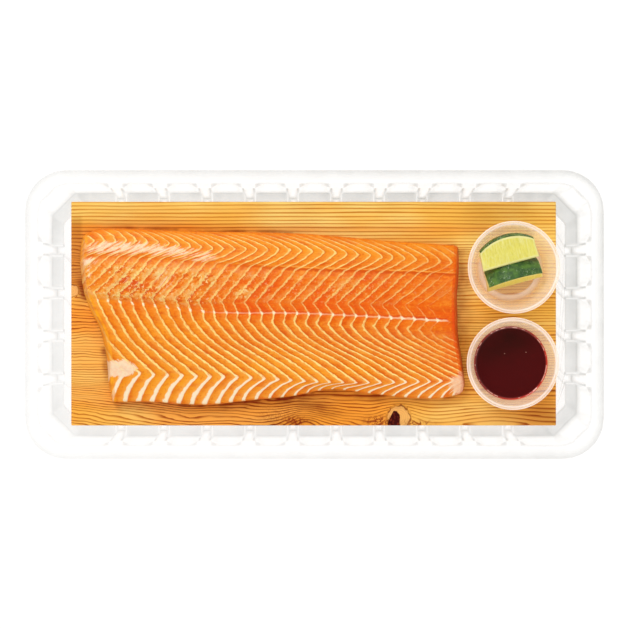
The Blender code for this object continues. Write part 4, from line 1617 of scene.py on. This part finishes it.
    def fat_lines(self, lay: Lay) -> tuple[Array, Array]:
        """The look of the fat lines.

        Args:
            lay: where the points lie.

        Returns:
            Their half widths, as shares of the way from one to the next, and their strength.
        """
        x, s, left, right = lay.x, lay.s, lay.left, lay.right
        strength = 0.85 - 0.2 * window(s, 2.1, 3.0 + 0.8 * lay.far_left, 0.2) * left
        strength -= (0.25 * window(s, 2.0, 3.0, 0.2) + 0.3 * window(s, 3.0, 4.0, 0.1)) * (1 - left)
        strength -= 0.35 * (window(s, 3.0, 5.4, 0.3) + window(s, 0.0, 1.6, 0.5)) * right
        strength -= 0.12 * window(s, 2.0, 3.0, 0.2) * right
        strength += 0.15 * window(s, 6.6, 9.0, 0.6)
        strength *= ease((s - 0.02) / 0.3) * 0.85 + 0.15
        strength -= 0.4 * window(s, 4.6, 7.0, 0.5) * ease((x - 55) / 35)
        strength -= 0.35 * window(s, 1.6, 5.0, 0.5) * ease((x - 72) / 18)
        half = 0.105 + 0.015 * window(s, 5.5, 8.2, 0.6) - 0.01 * window(s, 0.0, 1.2, 0.3)
        half = half + ease((s - 7.95) / 0.85) * (0.012 + 0.055 * ease((-15 - x) / 60))
        half = half - 0.03 * window(s, 2.9, 4.6, 0.25) - 0.03 * window(s, 2.0, 3.2, 0.15) * right
        return half, np.clip(strength, 0, 1) * (1 - 0.6 * lay.on_cut)

    def relief(self, lay: Lay, torn: Array) -> Array:
        """The flesh's own relief, in millimetres: flakes that rise behind each fat line, grooves or
        in the belly ridges along the lines, torn fibres, and slow swells.

        Args:
            lay: where the points lie.
            torn: how torn the flesh is.

        Returns:
            How far each point is raised.
        """
        x, y, z, s, k, turn = lay.x, lay.y, lay.z, lay.s, lay.k, lay.turn
        away = np.minimum(turn, 1 - turn)
        fatty = window(s, 5.5, 9.0, 0.8)
        flake = 0.30 * (turn - 0.5) * ease(away / 0.12) - 0.2 * bell(away, 0.1)
        relief = flake * (1 - 0.7 * fatty) + 0.16 * bell(away, 0.12) * fatty
        relief += 0.14 * Grain(23, 1).at(np.floor(k) * 1.37, s * 0.6) * ease(away / 0.2)
        relief += torn * (0.4 * Grain(24, 3).at(k * 2.4, s * 3.0) + 0.1 * Grain(25, 2).at(x / 1.6, y / 1.6))
        relief += 0.5 * torn * (np.sin(np.pi * np.clip(turn, 0, 1)) ** 0.5 - 0.6)
        relief += 0.45 * Grain(26, 2).at(x / 38, y / 22)
        relief *= lay.on_top * window(s, 0.25, self.last - 0.25, 0.25)
        return relief + 0.12 * Grain(27, 2).at(x / 9, z / 3) * (1 - lay.on_top) * ease(z / 3)

    def tints(self, lay: Lay) -> Array:
        """The tints of the flesh: soft patches, with the cut faces their own.

        Args:
            lay: where the points lie.

        Returns:
            How pale, red and golden each point is.
        """
        x, y, s, on_cut = lay.x, lay.y, lay.s, lay.on_cut
        tints = np.zeros((3, *x.shape))
        for patch in self.patches:
            tints[patch.tint.value] += patch.strength * blob(x, y, patch.centre, patch.radii, patch.power)
        pale, red, golden = tints
        pale *= np.where(y > 30, ease((s - 0.9) / 0.2), 1)
        pale *= np.where(np.abs(y - 4) < 24, 1 - 0.7 * on_cut, 1)
        red *= 0.8 + 0.5 * Grain(28).at(x / 20, y / 10)
        red += 0.35 * on_cut * (x > 0)
        golden += 0.8 * on_cut * (x < 0)
        return np.clip(tints, 0, 1.6).transpose(1, 2, 0)

    def cut(self, lay: Lay) -> Array:
        """How deep red the flesh is where it was cut: the right cut's foot, and down the sides."""
        height = lay.z / np.maximum(lay.z.max(1, keepdims=True), 1)
        cut = lay.on_cut * np.where(lay.x > 0, 1.0, 0.0) * ease(1.15 - height)
        cut = cut + 0.8 * np.clip(-lay.s, 0, 1) + 0.8 * np.clip(lay.s - self.last, 0, 1) ** 0.7
        return np.clip(cut, 0, 1)

    def faces(self, rows: int, columns: int) -> Faces:
        """The grid's quads, and the underside: quads from one side's foot to the other's, and at each
        end one face with the foot of the cut.

        Args:
            rows: number of fine rows.
            columns: number of columns.

        Returns:
            The faces of the closed skin.
        """
        index, end = np.arange(rows * columns).reshape(rows, columns), self.foot_columns
        back, belly = index[0], index[-1]
        here, ahead = slice(end, -end - 1), slice(end + 1, -end)
        under = np.stack([back[here], belly[here], belly[ahead], back[ahead]], -1)
        left = np.concatenate([index[:, 0], belly[1:end + 1], back[end:0:-1]])
        right = np.concatenate([index[::-1, -1], back[-2:-end - 2:-1], belly[-end - 1:-1]])
        return listed(grid_faces(rows, columns)) + listed(under) + listed(left[None]) + listed(right[None])

    def build(self) -> bpy.types.Object:
        """The fillet as one closed skin."""
        lay = self.lay_out()
        x, s, torn = lay.x, lay.s, self.torn(lay)
        height = np.maximum(lay.z + self.relief(lay, torn), 0.0)
        half, strength = self.fat_lines(lay)
        midline = lay.on_top * (0.22 + 0.43 * ease((x + 90) / 35) + 0.35 * lay.right)
        midline = np.clip(midline * ease((94.5 - x) / 2.5), 0, 1)
        vectors = {
            "flake": np.stack([lay.k, half, strength], -1),
            "tint": self.tints(lay),
            "site": np.stack([torn, midline, self.cut(lay)], -1),
            "weave": np.stack([lay.k * 1.6, s * 16.0, window(s, 8.05, 9.0, 0.3)], -1),
        }
        points = np.stack([x, lay.y, ON_PLANK + height], -1).reshape(-1, 3)
        skin = Skin("salmon_fillet", points, self.faces(*x.shape), vectors=vectors)
        return place(skin.make(FleshFinish().material(), flip=True), "salmon_flesh", "fillet")


# The pots


@dataclass(frozen=True)
class Pot:
    """A portion pot: a turned wall with a rolled rim and a recessed floor. Its outline gives the
    radius, the height and how dense the plastic looks at each point."""

    name: str
    node: str
    centre: Pair
    segments: int = 128
    outline: tuple[Span, ...] = (
        (0.0, 0.9, 0.0), (17.6, 0.9, 0.05), (18.4, 0.3, 0.4), (19.4, 0.0, 0.6), (20.8, 0.0, 0.6),
        (21.8, 0.4, 0.4), (22.5, 1.5, 0.2), (22.9, 3.2, 0.14), (28.55, 27.2, 0.14), (28.6, 28.6, 0.35),
        (29.9, 28.65, 0.35), (30.5, 28.9, 0.8), (30.75, 29.5, 1.0), (30.75, 30.3, 1.0), (30.45, 30.8, 0.7),
        (29.9, 31.0, 0.25), (29.35, 30.85, 0.6), (29.05, 30.3, 1.0), (28.75, 29.5, 0.9), (28.1, 29.3, 0.25),
        (27.7, 28.6, 0.2), (27.6, 27.4, 0.12), (22.0, 3.3, 0.1), (21.5, 2.0, 0.3), (20.6, 1.25, 0.5),
        (19.4, 1.0, 0.6), (18.6, 1.3, 0.5), (17.6, 1.7, 0.08), (0.0, 1.7, 0.0),
    )
    # The pot's plastic glows a little through its emission: painted light.
    finish: ClearSheetFinish = ClearSheetFinish(
        "clear_pot_plastic", tint=(1.0, 0.88, 0.72), fold_tint_and_shade=(0.97, 0.87, 0.82), open_share=0.09,
        fold_share=0.74, edge_share=0.36, roughness=0.25, through_tint=(1.0, 0.985, 0.955),
        glow_share=0.15, painted_glow=0.2,
    )

    def build(self) -> bpy.types.Object:
        """The pot. Its points are the outline turned about its axis, and both its floor's middles are
        one point each."""
        outline = np.array(self.outline)
        r, h, dense = outline[1:-1].T
        wall = turned(r, h, self.segments)
        middles = np.array([[0, 0, outline[0, 1]], [0, 0, outline[-1, 1]]])
        n, under = np.arange(self.segments), len(wall)
        after, top = np.roll(n, -1), under - self.segments
        faces = listed(grid_faces(len(r), self.segments, wrap=True))
        faces += listed(np.stack([np.full_like(n, under), after, n], -1))
        faces += listed(np.stack([np.full_like(n, under + 1), top + n, top + after], -1))
        folds = np.concatenate([np.repeat(dense, self.segments), outline[[0, -1], 2]])
        points = np.concatenate([wall, middles]) + (*self.centre, ON_PLANK)
        skin = Skin(self.name, points, faces, {"fold": folds})
        return place(skin.make(self.finish.material()), "clear_pot", self.node)


@dataclass(frozen=True)
class Glaze:
    """The glaze: a body up to its level that reaches just into the pot's wall, with a meniscus. The
    wall's foot and top are (radius, height) of the pot's inside."""

    floor: float = 1.65
    level: float = 14.4
    climb: float = 0.7
    wall_foot: Pair = (22.0, 3.3)
    wall_top: Pair = (27.6, 27.4)
    bite: float = 0.05
    segments: int = 144
    inward: tuple[float, ...] = (0.25, 0.6, 1.1, 1.8, 2.8, 4.5, 7.0, 10.0, 14.0, 18.0, 22.0)

    def wall(self, height: float) -> float:
        """The pot's inner radius at a height, and a little more."""
        (foot, low), (top, high) = self.wall_foot, self.wall_top
        return foot + self.bite + (top - foot) * (height - low) / (high - low)

    def build(self) -> bpy.types.Object:
        """The glaze: its wall, then rings from the wall in to the middle of its surface."""
        low, top = self.wall_foot[1], self.level + self.climb
        edge, inward = self.wall(top), np.array(self.inward)
        surface = self.level + self.climb * np.exp(-inward / self.climb)
        r = [17.0, 21.4, self.wall(low), edge, *(edge - inward)]
        points = turned(r, [self.floor, self.floor + 0.4, low, top, *surface], self.segments)
        n = np.arange(self.segments)
        faces = listed(grid_faces(len(r), self.segments, wrap=True))
        faces += listed(np.stack([n[::-1], n + len(points) - self.segments]))
        x, y = points[:, 0], points[:, 1]
        share = np.clip(np.hypot(x, y) / self.wall(self.level), 0, 1)
        # Painted shadow of the pot's wall, strongest at the upper left.
        shade = np.clip(0.9 * blob(x, y, (-8.0, 14.0), (20.0, 12.0)), 0, 1)
        thin = ease(0.3 + 0.7 * (0.9 * x - 0.6 * y) / 22)
        values = {"shallow_and_shade": np.stack([share, shade, thin], -1)}
        skin = Skin("glaze_body", points + (*GLAZE_POT, ON_PLANK), faces, vectors=values)
        return place(skin.make(GlazeFinish().material()), "glaze", "glaze")


# The lime wedges


def spun(a: Array, b: Array, degrees: float) -> tuple[Array, Array]:
    """Two coordinates turned from the first towards the second."""
    angle = math.radians(degrees)
    return a * math.cos(angle) - b * math.sin(angle), a * math.sin(angle) + b * math.cos(angle)


@dataclass(frozen=True)
class LimeWedge:
    """A wedge of lime: its core edge on the axis, its rind an arc, both ends cut off. It is turned
    about its length by roll, then to its heading, and set in the pot by its offset and height."""

    name: str
    node: str
    offset: Pair
    height: float
    heading: float
    roll: float
    seed: int
    floor: float = ON_PLANK + 0.8
    radius: float = 20.4
    tip: float = 27.0
    half_length: float = 19.4
    end_taper: float = 0.06
    end_middle: float = 0.434
    angle: float = 62.0
    stations: int = 61
    arc: int = 33
    out: int = 19

    def ring(self) -> tuple[Array, Array]:
        """The wedge's section as (share of the way out, share of the half angle): from the core out
        along one flesh face, round the rind, and back along the other."""
        out = np.linspace(0, 1, self.out)
        arc = np.linspace(-1, 1, self.arc)
        share = np.concatenate([out, np.ones(self.arc - 2), out[::-1][:-1]])
        turn = np.concatenate([-np.ones(self.out), arc[1:-1], np.ones(self.out - 1)])
        turn[0] = 0.0
        return share, turn

    def radius_at(self, station: Array | float) -> Array:
        """The radius along the wedge, an ellipse's height."""
        return self.radius * np.sqrt(1 - (self.half_length * station / self.tip) ** 2)

    def points_at(self, station: Array, share: Array, turn: Array) -> Array:
        """Points of the wedge. The flesh sinks a little between the core and the rind, and its
        surface is uneven.

        Args:
            station: place along it, from -1 to 1.
            share: share of the way out from the core edge.
            turn: share of the half angle.

        Returns:
            The points about the core edge's middle.
        """
        x = self.half_length * station * (1 - self.end_taper * share)
        inside = np.sin(np.pi * np.clip(share, 0, 1)) * (np.abs(turn) > 0.999)
        dip = inside * (0.35 + 0.25 * Grain(self.seed, 3).at(x / 3.0, share * 6))
        half = math.radians(self.angle / 2)
        out = self.radius_at(station) * share
        y = out * np.sin(half * turn) - np.sign(turn) * dip * math.cos(half)
        z = out * np.cos(half * turn) + dip * math.sin(half)
        return np.stack(np.broadcast_arrays(x, y, z), -1)

    def peel(self, station: Array, share: Array) -> Array:
        """What the finish reads.

        Args:
            station: place along the wedge, from -1 to 1.
            share: share of the way out from the core edge.

        Returns:
            Depth under the rind in millimetres, then place along the wedge and way out from the core
            edge in centimetres.
        """
        radius = self.radius_at(station)
        depth = radius * (1 - np.clip(share, 0, 1))
        values = np.broadcast_arrays(depth, station * self.half_length / 10, share * radius / 10)
        return np.stack(values, -1).reshape(-1, 3)

    def build(self, material: bpy.types.Material) -> bpy.types.Object:
        """The wedge: its section along its stations, and a fan of rings over each end.

        Args:
            material: the lime's finish, which both wedges share.

        Returns:
            The wedge, in its pot.
        """
        share, turn = self.ring()
        ring = len(share)
        station = np.linspace(-1, 1, self.stations)[:, None]
        side = self.points_at(station, share[None], turn[None])
        parts, peels = [side.reshape(-1, 3)], [self.peel(station, share[None])]
        faces = listed(grid_faces(self.stations, ring, wrap=True))
        n, start = np.arange(ring), self.stations * ring
        ahead = np.roll(n, -1)
        for end, row in ((-1, 0), (1, self.stations - 1)):
            previous = row * ring + n
            for scale in (0.8, 0.6, 0.4, 0.2):
                y = side[row, :, 1] * scale
                z = side[row, :, 2] * scale + self.end_middle * (1 - scale) * self.radius
                x = np.full(ring, self.half_length * end * (1 - 0.5 * self.end_taper))
                parts.append(np.stack([x, y, z], -1))
                peels.append(self.peel(np.full(ring, end), np.hypot(y, z) / self.radius_at(end)))
                here = start + n
                quads = np.stack([previous, previous[ahead], here[ahead], here], -1)
                faces += listed(quads[:, ::end])
                previous, start = here, start + ring
            faces += listed(previous[None, ::end])
        points = self.place_in_pot(np.concatenate(parts))
        skin = Skin(self.name, points, faces, vectors={"peel": np.concatenate(peels)})
        return place(skin.make(material, flip=True), "lime", self.node)

    def place_in_pot(self, points: Array) -> Array:
        """The points turned and set in the pot."""
        x, y, z = points.T
        y, z = spun(y, z, self.roll)
        x, y = spun(x, y, self.heading)
        at = (LIME_POT[0] + self.offset[0], LIME_POT[1] + self.offset[1], self.floor + self.height)
        return np.stack([x, y, z], -1) + at


# The studio


@dataclass(frozen=True)
class Studio:
    """A plain pale floor, a soft sky with a dark crown, soft lights and the camera overhead."""

    camera_height: float = 1345.0
    photo_focal: float = 1955.0
    sky: float = 0.7
    crown: float = 0.05
    floor_half: float = 6000.0
    floor_z: float = -0.2

    def build(self) -> None:
        """Sets the stage."""
        scene = bpy.context.scene
        scene.view_settings.view_transform = "Standard"
        lens = bpy.data.cameras.new("overhead_camera")
        lens.sensor_width = SENSOR
        lens.lens = self.photo_focal / PHOTO_SIDE * SENSOR
        lens.clip_start, lens.clip_end = 0.05, 30.0
        camera = bpy.data.objects.new("overhead_camera", lens)
        camera.location = (0.0, 0.0, self.camera_height * MM)
        scene.collection.objects.link(camera)
        scene.camera = camera
        self.floor()
        self.world()
        self.lamp("key_light", (-0.45, 0.9, 1.0), 0.5, 8.0)
        self.lamp("fill_light", (0.35, -1.0, 1.1), 0.9, 5.0)

    def floor(self) -> None:
        """The floor, a plane just under the tray."""
        corners = ((-1, -1), (1, -1), (1, 1), (-1, 1))
        points = np.array([(x * self.floor_half, y * self.floor_half, self.floor_z) for x, y in corners])
        ground = Skin("pale_floor", points, [(0, 1, 2, 3)]).make(FloorFinish().material())

    def world(self) -> None:
        """A sky that is bright near the horizon and dark overhead, so that wet pieces seen from above
        keep their depth."""
        world = bpy.data.worlds.new("soft_sky")
        world.use_nodes = True
        b = Bench(world.node_tree)
        up = b.parts(b.add("ShaderNodeTexCoord", output="Generated"))[2]
        strength = b.step(up, 0.93, 0.985, self.sky, self.crown)
        light = b.add("ShaderNodeBackground", {"Color": (1.0, 0.99, 0.97), "Strength": strength})
        b.add("ShaderNodeOutputWorld", {"Surface": light})
        bpy.context.scene.world = world

    def lamp(self, name: str, at: Span, size: float, power: float) -> None:
        """Adds a square soft light that faces the pack.

        Args:
            name: its name.
            at: its place in metres.
            size: its side in metres.
            power: its power in watts.
        """
        light = bpy.data.lights.new(name, "AREA")
        light.size = size
        light.energy = power
        lamp = bpy.data.objects.new(name, light)
        lamp.location = at
        aim = -np.array(at)
        flat = math.hypot(aim[0], aim[1])
        lamp.rotation_euler = (math.atan2(flat, -aim[2]), 0.0, math.atan2(aim[0], -aim[1]) + math.pi)
        bpy.context.scene.collection.objects.link(lamp)


def main() -> None:
    """Builds the pack in order."""
    logging.basicConfig(level=logging.INFO, format="%(name)s: %(message)s")
    Studio().build()
    Tray().build()
    Plank().build()
    Fillet().build()
    Pot("lime_pot_plastic", "lime_pot", LIME_POT).build()
    Pot("glaze_pot_plastic", "glaze_pot", GLAZE_POT).build()
    Glaze().build()
    lime = LimeFinish().material()
    LimeWedge("upper_lime_wedge", "lime_wedge_upper", (-1.1, 2.4), 21.7, 15.4, -96.0, 41).build(lime)
    LimeWedge("lower_lime_wedge", "lime_wedge_lower", (3.0, -11.0), 6.5, 15.4, -41.5, 51).build(lime)


if __name__ == "__main__":
    main()
